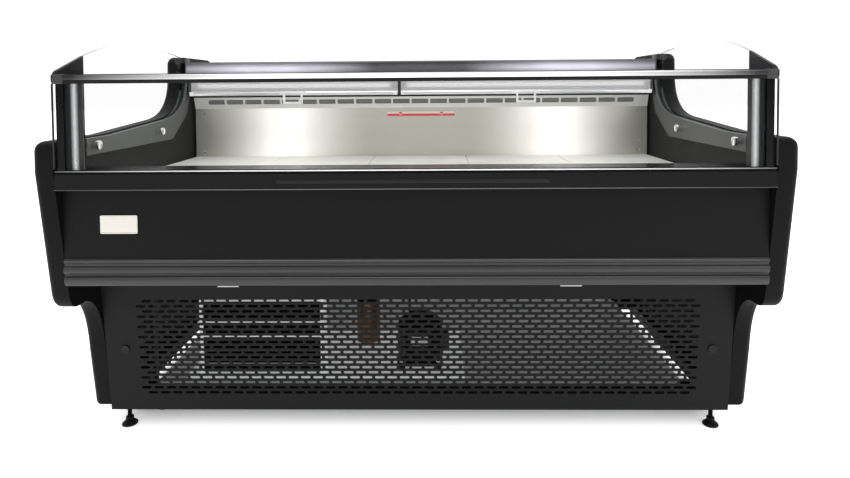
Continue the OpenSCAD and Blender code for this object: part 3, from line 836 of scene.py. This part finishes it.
class DeliCaseGlazing(bpy.types.Operator):
    """Prints the front of each side glass black, and adds edge trims, rail ends, knobs and thin strips with
    painted highlights on the rail, ledge and bumper
    """

    bl_idname = "deli_case.glazing"
    bl_label = "Glazing"

    def execute(self, context):
        size = context.scene.deli_case
        rail_low, rail_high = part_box("front_rail")
        for side, sign in SIDES:
            node = "side_glass_" + side
            line = FRONT + size.print_depth
            for part, outer in (("print", True), ("clear", False)):
                piece = copy_of(node, f"side_glass_{part}_{side}")
                cut(piece, (0, line, 0), (0, 1, 0), clear_outer=outer, clear_inner=not outer)
                face_out(piece)
                if part == "print":
                    fit_out(piece, "root", "gloss_black")
                else:
                    fit_out(piece, "root", "glass", replaces=[node])

            band = copy_of("front_glass", "front_glass_print_" + side)
            cut(band, (sign * size.band_inner, 0, 0), (sign, 0, 0), clear_inner=True)
            face_out(band)
            fit_out(band, "root", "gloss_black")

            edge_x = sign * 951 * MM
            edge = block("glass_edge_" + side, (edge_x - 2.5 * MM, FRONT + 0.4 * MM, 0.862),
                         (edge_x + 2.5 * MM, FRONT + 3.5 * MM, rail_low.z))
            soften(edge, 0.8 * MM)
            fit_out(edge, "root", "gloss_black", FINISHES["post_painted_highlight"])

            end_x = sign * (rail_high.x - 17 * MM)
            end = block(
                "rail_end_" + side,
                (end_x - 15 * MM, rail_low.y - 1 * MM, rail_low.z - 0.6 * MM),
                (end_x + 15 * MM, rail_high.y + 0.6 * MM, rail_high.z + 0.6 * MM),
            )
            soften(end, 3 * MM, 3)
            fit_out(end, "root", "black_plastic")
        pane = copy_of("front_glass", "front_glass_clear")
        for _, sign in SIDES:
            cut(pane, (sign * size.band_inner, 0, 0), (sign, 0, 0), clear_outer=True)
        face_out(pane)
        fit_out(pane, "root", "glass", replaces=["front_glass"])
        # painted highlight: a strip on the rail's front, bright mid-way and dark at its ends
        face = block(
            "rail_face",
            (-rail_high.x + 30 * MM, rail_low.y - 0.8 * MM, rail_low.z + 9.5 * MM),
            (rail_high.x - 30 * MM, rail_low.y + 2 * MM, rail_high.z - 2 * MM),
        )
        soften(face, 0.6 * MM)
        fit_out(face, "root", "gloss_black", FINISHES["rail_face"])
        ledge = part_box("front_ledge")
        left, right = ledge[0].x, ledge[1].x
        # painted highlight: a thin bright line along the ledge's front edge
        edge = block("ledge_edge", (left, FRONT + 3.4 * MM, 0.8525), (right, FRONT + 7.6 * MM, 0.8558))
        soften(edge, 1.2 * MM, 3)
        fit_out(edge, "root", "gloss_black", FINISHES["ledge_edge"])
        # painted highlight: a faint line at the ledge's bottom lip
        lip = block("ledge_lip", (left, FRONT + 1.6 * MM, 0.8035), (right, FRONT + 5 * MM, 0.8055))
        fit_out(lip, "root", "gloss_black", FINISHES["bumper_edge"])
        # painted highlights: two faint lines along the bumper's ribs
        for number, (height, inset) in enumerate(((0.6075, 33.4), (0.5605, 31.4))):
            y = FRONT + inset * MM
            line = block(f"bumper_line_{number}", (-rail_high.x + 4 * MM, y, height - 1.6 * MM),
                         (rail_high.x - 4 * MM, y + 4 * MM, height))
            soften(line, 0.7 * MM)
            fit_out(line, "root", "moulded_black", FINISHES["bumper_edge"])
        self.knobs()
        return {"FINISHED"}

    def knobs(self):
        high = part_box("glass_knobs")[1]
        pieces = []
        for _, sign in SIDES:
            for depth, height in ((150, 912), (560, 922)):
                y, z = FRONT + depth * MM, height * MM
                face = sign * (high.x - 18 * MM)
                stem = rod("knob_stem", (sign * high.x, y, z), (face + sign * 10 * MM, y, z), 7 * MM)
                head = rod("knob_head", (face + sign * 12 * MM, y, z), (face, y, z), 13 * MM, 32)
                sink(head, (3 * MM,), (sign * 1.2 * MM, 0, 0),
                     lambda centre, normal: abs(normal.x) > 0.9 and abs(centre.x) < abs(face) + MM)
                soften(head, 1.2 * MM, 3)
                pieces += [stem, head]
        fit_out(join("glass_standoffs", pieces), "root", "chrome", replaces=["glass_knobs"])


class DeliCaseBlinds(bpy.types.Operator):
    """Makes the two night blinds: wound sheet, core, pull bar and white handle"""

    bl_idname = "deli_case.blinds"
    bl_label = "Night blinds"

    def execute(self, context):
        for side, _ in SIDES:
            body = "blind_" + side
            bar_low, bar_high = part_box("blind_bar_" + side)
            roll_low, roll_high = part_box("blind_roller_" + side)
            axle = (roll_low + roll_high) / 2
            self.sheet(side, axle, bar_low, bar_high)
            core = rod("blind_core_" + side, (roll_low.x + 6 * MM, axle.y, axle.z),
                       (roll_high.x - 6 * MM, axle.y, axle.z), 14.4 * MM, 32)
            axles = rod("blind_axle_" + side, (roll_low.x, axle.y, axle.z),
                        (roll_high.x, axle.y, axle.z), 5 * MM, 24)
            core = join("blind_core_" + side, [core, axles])
            soften(core, 0.6 * MM)
            fit_out(core, "blind_roller_" + side, "white_plastic", replaces=["blind_roller_" + side])
            self.bar(side, body, bar_low, bar_high)
            self.handle(side, body, bar_low, bar_high)
        return {"FINISHED"}

    def sheet(self, side, axle, bar_low, bar_high):
        """A thin woven sheet: its turns round the core, then the run to the pull bar."""
        inner, outer, turns, steps = 14.8 * MM, 17.7 * MM, 7, 24
        points = []
        for i in range(turns * steps + 1):
            t = -math.pi / 2 - (turns * steps - i) / steps * math.tau
            r = inner + (outer - inner) * i / (turns * steps)
            points.append((axle.y + r * math.cos(t), axle.z + r * math.sin(t)))
        end_y = bar_low.y + 20 * MM
        low = axle.z - outer
        run = [(axle.y + (end_y - axle.y) * i / 6, low - 0.3 * MM) for i in range(1, 7)]
        points += run
        x0, x1 = bar_low.x + 3 * MM, bar_high.x - 3 * MM
        draw([(x0, *point) for point in points])
        bpy.ops.mesh.extrude_region_move(TRANSFORM_OT_translate={"value": (x1 - x0, 0, 0)})
        bpy.ops.mesh.select_all(action="SELECT")
        bpy.ops.mesh.normals_make_consistent(inside=False)
        bpy.ops.object.mode_set(mode="OBJECT")
        piece = settled("blind_sheet_woven_" + side)
        modify(piece, "SOLIDIFY", thickness=0.25 * MM, offset=0)
        smooth(piece, 40)
        dress(piece, FINISHES["blind_foil"])
        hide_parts("blind_sheet_" + side)
        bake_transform(piece)
        return piece

    def bar(self, side, body, low, high):
        y0, z0 = high.y - 12 * MM, 1045 * MM
        y1, z1 = high.y, 1059 * MM
        section = [
            (y0, z0), (y0, z1 - 3 * MM), (y0 + 3 * MM, z1), (y1, z1), (y1, z0 + 4 * MM),
            (y1 - 2 * MM, z0 + 4 * MM), (y1 - 2 * MM, z0),
        ]
        bar = outline("blind_pull_bar_" + side, [(low.x, *p) for p in section])
        pull(bar, (high.x - low.x, 0, 0))
        soften(bar, 0.8 * MM)
        fit_out(bar, body, "aluminium", replaces=["blind_bar_" + side])
        for end, x in (("a", low.x), ("b", high.x)):
            inward = 1 if end == "a" else -1
            left, right = sorted((x, x + inward * 14 * MM))
            cap = block(f"blind_bar_cap_{side}_{end}", (left, y0 - 0.6 * MM, z0 - 0.6 * MM),
                        (right, y1 + 0.2 * MM, z1 + 0.6 * MM))
            soften(cap, 1.2 * MM, 3)
            fit_out(cap, body, "white_plastic")

    def handle(self, side, body, low, high):
        """A rounded frame to put two fingers through, with a clip each side of it."""
        middle = (low.x + high.x) / 2
        half = 38.5 * MM
        y0 = low.y
        y1 = low.y + 8 * MM
        ring = block("blind_handle_" + side, (middle - half, y0, 1011 * MM), (middle + half, y1, 1060 * MM))
        pick(ring, lambda centre, normal: abs(normal.y) > 0.9)
        bpy.ops.mesh.inset(thickness=8 * MM, use_individual=True)
        bpy.ops.mesh.bridge_edge_loops()
        bpy.ops.object.mode_set(mode="OBJECT")
        soften(ring, 2.2 * MM, 4, 30)
        clips = []
        for sign in (-1, 1):
            x = middle + sign * 46 * MM
            clip = block("blind_clip", (x - 8 * MM, y0 + 4 * MM, 1046 * MM), (x + 8 * MM, y1, 1060 * MM))
            soften(clip, 1.5 * MM, 3)
            clips.append(clip)
        fit_out(join("blind_handle_" + side, [ring, *clips]), body, "white_plastic")


class DeliCaseMarks(bpy.types.Operator):
    """Adds the blank nameplate, the load line on the rear wall and a dark strip on the front ledge that is
    a painted reflection
    """

    bl_idname = "deli_case.marks"
    bl_label = "Plates and marks"

    def execute(self, context):
        low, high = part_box("nameplate")
        plate = block("name_plate_blank", (low.x, low.y, low.z), (high.x, high.y, high.z))
        pick(plate, lambda a, b: abs(a.y - b.y) > MM, "EDGE")
        bpy.ops.mesh.bevel(offset=4 * MM, segments=5)
        sink(plate, (2.5 * MM, 0.8 * MM), (0, 0.7 * MM, 0), lambda centre, normal: normal.y < -0.9)
        fit_out(plate, "root", "stainless", replaces=["nameplate"])

        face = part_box("duct_panel")[0].y
        middle = 0.004
        half = 138 * MM
        lift = 0.3 * MM
        for name, low_z, high_z, finish in (
            ("load_line_white", 0.9655, 0.9735, "white_plastic"),
            ("load_line_red", 0.9555, 0.9655, "signal_red"),
        ):
            strip = block(name, (middle - half, face - lift, low_z), (middle + half, face, high_z))
            fit_out(strip, "root", "white_plastic", FINISHES[finish])
        for side, sign in SIDES:
            x = middle + sign * 84 * MM
            for name, reach, lift in (("load_mark_edge_", 13, 0.5), ("load_mark_", 9, 0.7)):
                top = 0.9735 - (13 - reach) * 0.35 * MM
                points = [(x - reach * MM, face, top), (x + reach * MM, face, top),
                          (x, face, top - reach * 1.25 * MM)]
                mark = outline(name + side, points)
                pull(mark, (0, -lift * MM, 0))
                finish = "white_plastic" if "edge" in name else "signal_red"
                fit_out(mark, "root", "white_plastic", FINISHES[finish])

        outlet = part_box("air_outlet")
        comb = block("outlet_comb", (outlet[0].x + 20 * MM, face - 4 * MM, 1.0095),
                     (outlet[1].x - 20 * MM, face - 2 * MM, 1.0245))
        fit_out(comb, "root", "galvanised", FINISHES["comb_grey"])

        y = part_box("front_ledge")[0].y
        # painted reflection: a dark strip across the front ledge where a dark reflection falls
        dark_reflection_strip = block("ledge_dark_reflection", (-0.36, y - 1.0 * MM, 0.8195), (0.36, y + 1.5 * MM, 0.8305))
        soften(dark_reflection_strip, 1.0 * MM, 2)
        fit_out(dark_reflection_strip, "root", "black_plastic", FINISHES["dark_cap"])
        return {"FINISHED"}


class DeliCaseScrews(bpy.types.Operator):
    """Adds the pan-head screws of the rear wall, brackets and back"""

    bl_idname = "deli_case.screws"
    bl_label = "Screws"

    def execute(self, context):
        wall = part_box("duct_panel")[0].y
        heads = []
        for _, sign in SIDES:
            for z in (812, 850, 970):
                heads.append(screw_head((sign * 890 * MM, wall, z * MM), (0, -1, 0), 4 * MM))
        fit_out(join("wall_screws", heads), "root", "chrome", replaces=["panel_screws"])
        heads = []
        for _, sign in SIDES:
            for z in (890, 960, 1030):
                place = (sign * 936 * MM, FRONT + 89 * MM, z * MM)
                heads.append(screw_head(place, (-sign, 0, 0), 7 * MM))
        fit_out(join("bracket_bolts", heads), "root", "chrome")
        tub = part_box("tub")[1]
        heads = []
        for _, sign in SIDES:
            for z in (540, 700, 860, 1020, 1130):
                heads.append(screw_head((sign * 915 * MM, tub.y, z * MM), (0, 1, 0), 5 * MM))
            for z in (120, 300, 470):
                heads.append(screw_head((sign * 935 * MM, BACK - 10 * MM, z * MM), (0, 1, 0), 5 * MM))
        fit_out(join("back_screws", heads), "root", "black_plastic")
        return {"FINISHED"}


class DeliCaseTrays(bpy.types.Operator):
    """Presses the five lift-out deck trays with their turned-down, rounded lips"""

    bl_idname = "deli_case.trays"
    bl_label = "Deck trays"

    def execute(self, context):
        for number in range(1, 6):
            node = f"deck_tray_{number}"
            low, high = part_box(node)
            tray = block("pressed_tray_" + str(number), low, high)
            pick(tray, lambda centre, normal: normal.z < -0.9)
            bpy.ops.mesh.delete(type="FACE")
            bpy.ops.object.mode_set(mode="OBJECT")
            soften(tray, 3.5 * MM, 4, 60)
            modify(tray, "SOLIDIFY", thickness=1.2 * MM, offset=-1)
            face_out(tray)
            fit_out(tray, node, "stainless", FINISHES["deck_steel"], [node], 35)
        return {"FINISHED"}


class DeliCaseMachines(bpy.types.Operator):
    """Builds the condenser with its thin fins and pipes, and the round compressor with its cover"""

    bl_idname = "deli_case.machines"
    bl_label = "Condenser and compressor"

    def execute(self, context):
        low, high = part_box("condenser_coil")
        core_low, core_high = low.x + 14 * MM, high.x - 14 * MM
        y0, y1 = low.y, high.y
        fin = block("condenser_fins", (core_low + 6 * MM, y0 + 5 * MM, low.z + 4 * MM),
                    (core_low + 6.25 * MM, y1 - 5 * MM, high.z - 4 * MM))
        pitch = context.scene.deli_case.fin_pitch
        count = int((core_high - core_low - 12 * MM) / pitch)
        step_and_repeat(fin, count, (pitch, 0, 0))
        fit_out(fin, "root", "aluminium", FINISHES["charcoal_paint"])

        pieces = []
        for x in (core_low, core_high):
            side = block("condenser_side", (x - 6 * MM, y0, low.z), (x + 6 * MM, y1, high.z))
            pieces.append(soften(side, 1 * MM))
        for z in (low.z, high.z - 4 * MM):
            rail = block("condenser_rail", (core_low - 6 * MM, y0, z), (core_high + 6 * MM, y1, z + 4 * MM))
            pieces.append(soften(rail, 1 * MM))
        casing = join("condenser_casing", pieces)
        fit_out(casing, "root", "galvanised", FINISHES["zinc_painted_glow"], ["condenser_coil"])

        pipes = []
        for row in range(5):
            z = low.z + 32 * MM + row * 46 * MM
            start, end = (low.x + 2 * MM, y0 + 3 * MM, z), (high.x - 2 * MM, y0 + 3 * MM, z)
            pipes.append(soften(rod("condenser_pipe", start, end, 3 * MM), 0.6 * MM))
        fit_out(join("condenser_pipes", pipes), "root", "galvanised", FINISHES["zinc_painted_glow"])

        low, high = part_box("compressor")
        x, y = (low.x + 0.076), (low.y + high.y) / 2
        body = rod("compressor_body", (x, y, 158 * MM), (x, y, high.z), 76 * MM, 64)
        pick(body, lambda a, b: min(a.z, b.z) > high.z - MM, "EDGE")
        bpy.ops.mesh.bevel(offset=38 * MM, segments=8, clamp_overlap=True)
        bpy.ops.object.mode_set(mode="OBJECT")
        half = 76 * MM
        foot = block("compressor_foot", (x - half, y - half, low.z), (x + half, y + half, 158 * MM))
        soften(foot, 2 * MM)
        seam = rod("compressor_seam", (x, y, 206 * MM), (x, y, 213 * MM), 77.5 * MM, 64)
        soften(seam, 1.6 * MM, 3)
        shell = join("compressor_shell", [body, foot, seam])
        fit_out(shell, "root", "gloss_black", replaces=["compressor"])
        cover = block("terminal_cover", (x + 60 * MM, y - 26 * MM, 186 * MM),
                      (high.x, y + 26 * MM, 244 * MM))
        soften(cover, 5 * MM, 3)
        fit_out(cover, "root", "black_plastic")
        label = block("compressor_label", (x - 28 * MM, y - 76.8 * MM, 222 * MM),
                      (x + 28 * MM, y - 70 * MM, 252 * MM))
        fit_out(label, "root", "white_plastic")
        nuts = []
        for dx in (-60, 60):
            for dy in (-60, 60):
                at, up = Vector((x + dx * MM, y + dy * MM, 158 * MM)), Vector((0, 0, MM))
                nut = rod("mount_nut", at, at + 8 * up, 8 * MM, 6)
                stud = rod("mount_stud", at, at + 17 * up, 3.6 * MM, 16)
                nuts += [soften(nut, 0.7 * MM), stud]
        fit_out(join("compressor_nuts", nuts), "root", "chrome")
        return {"FINISHED"}


class DeliCaseFans(bpy.types.Operator):
    """Makes the three fans, each with five twisted blades on a domed hub"""

    bl_idname = "deli_case.fans"
    bl_label = "Fans"

    def execute(self, context):
        self.fan("condenser_fan", 24 * MM, "galvanised")
        for side, _ in SIDES:
            self.fan("evaporator_fan_" + side, 20 * MM, "black_plastic")
        return {"FINISHED"}

    def fan(self, node, hub, slot):
        low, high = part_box(node)
        centre = (low + high) / 2
        reach = (high.z - low.z) / 2 - 1 * MM
        depth = high.y - low.y
        chord = reach * 0.66
        blade = block("fan_blade", (hub * 0.8, -0.8 * MM, -chord / 2), (reach, 0.8 * MM, chord / 2))
        take(blade)
        bpy.ops.object.mode_set(mode="EDIT")
        bpy.ops.mesh.select_all(action="SELECT")
        bpy.ops.mesh.subdivide(number_cuts=6)
        bpy.ops.object.mode_set(mode="OBJECT")
        modify(blade, "SIMPLE_DEFORM", deform_method="TWIST", deform_axis="X", angle=math.radians(16))
        take(blade)
        bpy.ops.transform.rotate(value=math.radians(62), orient_axis="X", center_override=(0, 0, 0))
        bpy.ops.object.transform_apply(location=True, rotation=True, scale=True)
        sweep = rod("fan_sweep", (0, -depth / 2 + MM, 0), (0, depth / 2 - MM, 0), reach, 64)
        modify(blade, "BOOLEAN", operation="INTERSECT", object=sweep, solver="EXACT")
        bpy.data.objects.remove(sweep)
        take(blade)
        bpy.ops.object.mode_set(mode="EDIT")
        bpy.ops.mesh.select_all(action="SELECT")
        bpy.ops.mesh.spin(steps=5, angle=math.tau, center=(0, 0, 0), axis=(0, 1, 0), dupli=True)
        face_out(blade)
        boss = rod("fan_hub", (0, -depth / 2 + MM, 0), (0, depth / 2 - MM, 0), hub, 32)
        soften(boss, 5 * MM, 4)
        whole = shift(join(node + "_moulded", [boss, blade]), centre)
        fit_out(whole, node, slot, replaces=[node], angle=30)


class DeliCaseLamps(bpy.types.Operator):
    """Fits the two frosted tubes in their holders under the canopy"""

    bl_idname = "deli_case.lamps"
    bl_label = "Lamps"

    def execute(self, context):
        tubes, holders = [], []
        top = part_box("lamp_covers")[1].z - MM
        low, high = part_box("lamps")
        y = (low.y + high.y) / 2
        near, far = y - 9.6 * MM, y + 9.6 * MM
        z = 1082 * MM
        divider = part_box("blind_bar_left")[1].x
        runs = ((low.x, divider - 24 * MM), (divider + 30 * MM, high.x))
        for start, end in runs:
            tubes.append(rod("tube", (start + 8 * MM, y, z), (end - 8 * MM, y, z), 7.8 * MM, 32))
            for x in (start, end - 9 * MM):
                holder = block("holder", (x, near, 1072.5 * MM), (x + 9 * MM, far, top))
                holders.append(soften(holder, 1.5 * MM, 3))
            base = block("lamp_base", (start, near, 1091 * MM), (end, far, top))
            holders.append(soften(base, 1 * MM))
        fit_out(join("lamp_tubes", tubes), "root", "white_plastic", FINISHES["lamp_glow"])
        fit_out(join("lamp_holders", holders), "root", "white_plastic", replaces=["lamps"])
        return {"FINISHED"}


class DeliCaseFeet(bpy.types.Operator):
    """Turns the four levelling feet: rubber pad, hexagon and threaded stem"""

    bl_idname = "deli_case.feet"
    bl_label = "Levelling feet"

    def execute(self, context):
        for end in ("front", "rear"):
            for side, _ in SIDES:
                node = f"foot_{end}_{side}"
                low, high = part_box(node)
                x, y = (low.x + high.x) / 2, (low.y + high.y) / 2
                pad = rod("pad", (x, y, 0), (x, y, 5 * MM), 24 * MM, 48)
                soften(pad, 1.2 * MM, 3)
                fit_out(pad, node, "rubber")
                pad.name = f"{node}_pad"
                cone = rod("cone", (x, y, 5 * MM), (x, y, 16 * MM), 23 * MM, 48, tip=11 * MM)
                nut = rod("nut", (x, y, 16 * MM), (x, y, 26 * MM), 12.4 * MM, 6)
                soften(cone, 0.8 * MM)
                soften(nut, 0.8 * MM)
                stem = rod("stem", (x, y, 26 * MM), (x, y, high.z), 5.8 * MM, 24)
                turn = rod("turn", (x, y, 27 * MM), (x, y, 28 * MM), 5.6 * MM, 24, tip=6.8 * MM)
                back = rod("turn_back", (x, y, 28 * MM), (x, y, 29 * MM), 6.8 * MM, 24, tip=5.6 * MM)
                thread = join("thread", [turn, back])
                step_and_repeat(thread, int((high.z - 30 * MM) / (2 * MM)), (0, 0, 2 * MM))
                foot = join(node + "_turned", [cone, nut, stem, thread])
                fit_out(foot, node, "painted_black", replaces=[node], angle=25)
        return {"FINISHED"}


class DeliCaseControls(bpy.types.Operator):
    """Gives the rear control box its rounded face, dark display and keys"""

    bl_idname = "deli_case.controls"
    bl_label = "Rear controls"

    def execute(self, context):
        low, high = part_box("control_box")
        face = high.y
        window = block("thermostat", (low.x + 12 * MM, face - 1 * MM, low.z + 22 * MM),
                       (low.x + 88 * MM, face + 1.6 * MM, high.z - 22 * MM))
        sink(window, (5 * MM,), (0, -0.9 * MM, 0), lambda centre, normal: normal.y > 0.9)
        soften(window, 0.5 * MM)
        fit_out(window, "root", "black_plastic")
        middle = (low.z + high.z) / 2
        display = block("display", (low.x + 22 * MM, face, middle - 8 * MM),
                        (low.x + 60 * MM, face + 0.9 * MM, middle + 14 * MM))
        fit_out(display, "root", "gloss_black")
        keys = []
        for row in range(4):
            x, z = low.x + 73 * MM, middle + (15 - row * 10) * MM
            key = rod("membrane_key", (x, face, z), (x, face + 1.1 * MM, z), 3.6 * MM, 24)
            keys.append(soften(key, 0.4 * MM))
        fit_out(join("membrane_keys", keys), "root", "white_plastic")
        screws = []
        for x in (low.x + 5 * MM, high.x - 5 * MM):
            for z in (low.z + 5 * MM, high.z - 5 * MM):
                screws.append(screw_head((x, face, z), (0, 1, 0), 3 * MM))
        fit_out(join("control_screws", screws), "root", "chrome")
        return {"FINISHED"}


class DeliCaseStage(bpy.types.Operator):
    """Adds the pale floor with a painted shadow under the case, the soft studio lights and the camera"""

    bl_idname = "deli_case.stage"
    bl_label = "Stage"

    def execute(self, context):
        studio = context.scene.deli_case_studio
        bpy.ops.object.select_all(action="DESELECT")
        bpy.ops.mesh.primitive_plane_add(size=60, location=(0, 0, -0.0005))
        floor = context.object
        floor.name = "studio_floor"
        paint = Finish("studio_floor", Base_Color=tuple(studio.floor_colour), Roughness=0.9)
        # painted shadow: the floor's glow fades to near black under the case
        across = paint.spread(paint.off("X"), 0.94, 1.0, 1.0, 0.0)
        along = paint.spread(paint.off("Y", 0.15), 0.3, 0.44, 1.0, 0.0)
        painted_light = paint.tint(across * along, (1.0, 1.0, 1.0), (0.02, 0.02, 0.02))
        paint.set(Emission_Color=painted_light, Emission_Strength=studio.floor_glow)
        dress(floor, paint.material)

        self.surround(context, studio)
        self.soft_box(context, "key_left", (-2.6, -3.4, 2.9), (0, 0, 0.8), 1.6, studio.key * 0.42)
        self.soft_box(context, "key_right", (3.0, -3.0, 2.6), (0, 0, 0.8), 1.4, studio.key * 0.8)
        self.soft_box(context, "top", (0, -0.1, 3.2), (0, 0, 0.6), 1.8, studio.key * 0.8)
        self.camera(context, studio)
        context.scene.view_settings.view_transform = "Standard"
        return {"FINISHED"}

    def surround(self, context, studio):
        """A white sweep behind the case that falls off to a dim room in front of it."""
        world = bpy.data.worlds.new("studio")
        context.scene.world = world
        world.use_nodes = True
        nodes, links = world.node_tree.nodes, world.node_tree.links
        sky = nodes["Background"]
        place = nodes.new("ShaderNodeTexCoord")
        axes = nodes.new("ShaderNodeSeparateXYZ")
        links.new(place.outputs["Generated"], axes.inputs[0])
        fall = nodes.new("ShaderNodeMapRange")
        fall.interpolation_type = "SMOOTHSTEP"
        for socket, value in ((1, -1.0), (2, 0.4), (3, studio.ambient), (4, studio.backdrop)):
            fall.inputs[socket].default_value = value
        links.new(axes.outputs["Y"], fall.inputs[0])
        sky.inputs["Color"].default_value = (1.0, 1.0, 1.0, 1.0)
        links.new(fall.outputs[0], sky.inputs["Strength"])

    def soft_box(self, context, name, place, aim, size, power):
        bpy.ops.object.light_add(type="AREA", location=place)
        light = context.object
        light.name = name
        light.data.size = size
        light.data.energy = power
        way = Vector(aim) - Vector(place)
        light.rotation_euler = way.to_track_quat("-Z", "Y").to_euler()

    def camera(self, context, studio):
        place = Vector((0.060, FRONT - studio.distance, studio.eye_height))
        bpy.ops.object.camera_add(location=place)
        camera = context.object
        camera.data.sensor_width = 36
        camera.data.lens = studio.lens
        camera.data.shift_y = studio.shift
        level = Matrix.Rotation(math.radians(90) - studio.pitch, 4, "X")
        turn = Matrix.Rotation(studio.yaw, 4, "Z")
        roll = Matrix.Rotation(studio.roll, 4, "Z")
        camera.rotation_mode = "QUATERNION"
        camera.rotation_quaternion = (turn @ level @ roll).to_quaternion()
        context.scene.camera = camera


class DeliCaseSizes(bpy.types.PropertyGroup):
    """The sizes of the case's visible pieces"""

    end_radius: bpy.props.FloatProperty(
        name="End radius", description="Rounding of the moulded ends' outer edges",
        subtype="DISTANCE", default=0.030, min=0.002, max=0.04,
    )
    print_depth: bpy.props.FloatProperty(
        name="Print depth", description="Width of the black print on the side glass",
        subtype="DISTANCE", default=0.14, min=0.02, max=0.4,
    )
    band_inner: bpy.props.FloatProperty(
        name="Band", description="From the middle to the black print at the front glass's ends",
        subtype="DISTANCE", default=0.926, min=0.5, max=0.95,
    )
    slot_rows: bpy.props.IntProperty(
        name="Slot rows", description="Rows of slots in the plinth", default=19, min=1, max=30,
    )
    slot_columns: bpy.props.IntProperty(
        name="Slot columns", description="Slots in an even row", default=44, min=1, max=60,
    )
    slot_pitch: bpy.props.FloatProperty(
        name="Slot pitch", description="From one slot to the next", subtype="DISTANCE",
        default=0.038, min=0.01, max=0.2,
    )
    slot_row_pitch: bpy.props.FloatProperty(
        name="Row pitch", description="From one row to the next", subtype="DISTANCE",
        default=0.0166, min=0.005, max=0.1,
    )
    slot_width: bpy.props.FloatProperty(
        name="Slot width", description="Length of one slot", subtype="DISTANCE",
        default=0.030, min=0.005, max=0.1,
    )
    slot_height: bpy.props.FloatProperty(
        name="Slot height", description="Height of one slot", subtype="DISTANCE",
        default=0.009, min=0.002, max=0.05,
    )
    slot_margin: bpy.props.FloatProperty(
        name="Slot margin", description="From the plinth's top edge down to the first row",
        subtype="DISTANCE", default=0.057, min=0.01, max=0.2,
    )
    fin_pitch: bpy.props.FloatProperty(
        name="Fin pitch", description="From one condenser fin to the next", subtype="DISTANCE",
        default=0.0026, min=0.001, max=0.02,
    )


class DeliCaseStudio(bpy.types.PropertyGroup):
    """The studio: lights, floor and camera"""

    floor_colour: bpy.props.FloatVectorProperty(
        name="Floor colour", description="Colour of the studio floor", subtype="COLOR",
        size=3, min=0, max=1, default=(0.92, 0.92, 0.92),
    )
    ambient: bpy.props.FloatProperty(
        name="Ambient", description="Strength of the room's light", default=0.4, min=0, max=4,
    )
    backdrop: bpy.props.FloatProperty(
        name="Backdrop", description="Strength of the white sweep", default=1.15, min=0, max=20,
    )
    floor_glow: bpy.props.FloatProperty(
        name="Floor glow", description="How far the floor lights itself", default=0.75, min=0, max=20,
    )
    key: bpy.props.FloatProperty(
        name="Key", description="Power of a soft box, in watts", default=48.0, min=0, max=1000,
    )
    lens: bpy.props.FloatProperty(
        name="Lens", description="Focal length in millimetres", default=25.58, min=10, max=100,
    )
    distance: bpy.props.FloatProperty(
        name="Distance", description="From the camera to the case's front", subtype="DISTANCE",
        default=1.579, min=0.5, max=10,
    )
    eye_height: bpy.props.FloatProperty(
        name="Eye height", description="Height of the camera", subtype="DISTANCE",
        default=1.07, min=0.1, max=3,
    )
    shift: bpy.props.FloatProperty(
        name="Shift", description="Lens shift up, as a share of the image's width",
        default=-0.1529, min=-0.5, max=0.5,
    )
    pitch: bpy.props.FloatProperty(
        name="Pitch", description="How far the camera looks down", subtype="ANGLE",
        default=math.radians(2.0),
    )
    yaw: bpy.props.FloatProperty(
        name="Yaw", description="How far the camera is turned to the left", subtype="ANGLE",
        default=math.radians(0.92),
    )
    roll: bpy.props.FloatProperty(
        name="Roll", description="Lean of the camera", subtype="ANGLE", default=math.radians(-0.42),
    )


class DeliCasePanel(bpy.types.Panel):
    """Lists the case's pieces in the order they are made"""

    bl_idname = "VIEW3D_PT_deli_case"
    bl_label = "Deli Case"
    bl_space_type = "VIEW_3D"
    bl_region_type = "UI"
    bl_category = "Deli Case"

    def draw(self, context):
        column = self.layout.column(align=True)
        for step in STEPS:
            column.operator(step.bl_idname)
        studio = context.scene.deli_case_studio
        for name in ("ambient", "key", "floor_colour", "lens", "distance", "eye_height"):
            self.layout.prop(studio, name)


STEPS = (
    DeliCaseParts, DeliCaseEnds, DeliCasePlinth, DeliCaseGlazing, DeliCaseBlinds, DeliCaseMarks,
    DeliCaseScrews, DeliCaseTrays, DeliCaseMachines, DeliCaseFans, DeliCaseLamps, DeliCaseFeet,
    DeliCaseControls, DeliCaseStage,
)
GROUPS = (DeliCaseSizes, DeliCaseStudio)


def register():
    for item in (*GROUPS, *STEPS, DeliCasePanel):
        bpy.utils.register_class(item)
    bpy.types.Scene.deli_case = bpy.props.PointerProperty(type=DeliCaseSizes)
    bpy.types.Scene.deli_case_studio = bpy.props.PointerProperty(type=DeliCaseStudio)


def unregister():
    del bpy.types.Scene.deli_case_studio
    del bpy.types.Scene.deli_case
    for item in reversed((*GROUPS, *STEPS, DeliCasePanel)):
        bpy.utils.unregister_class(item)


def main():
    register()
    for step in STEPS:
        family, name = step.bl_idname.split(".")
        getattr(getattr(bpy.ops, family), name)()


if __name__ == "__main__":
    main()
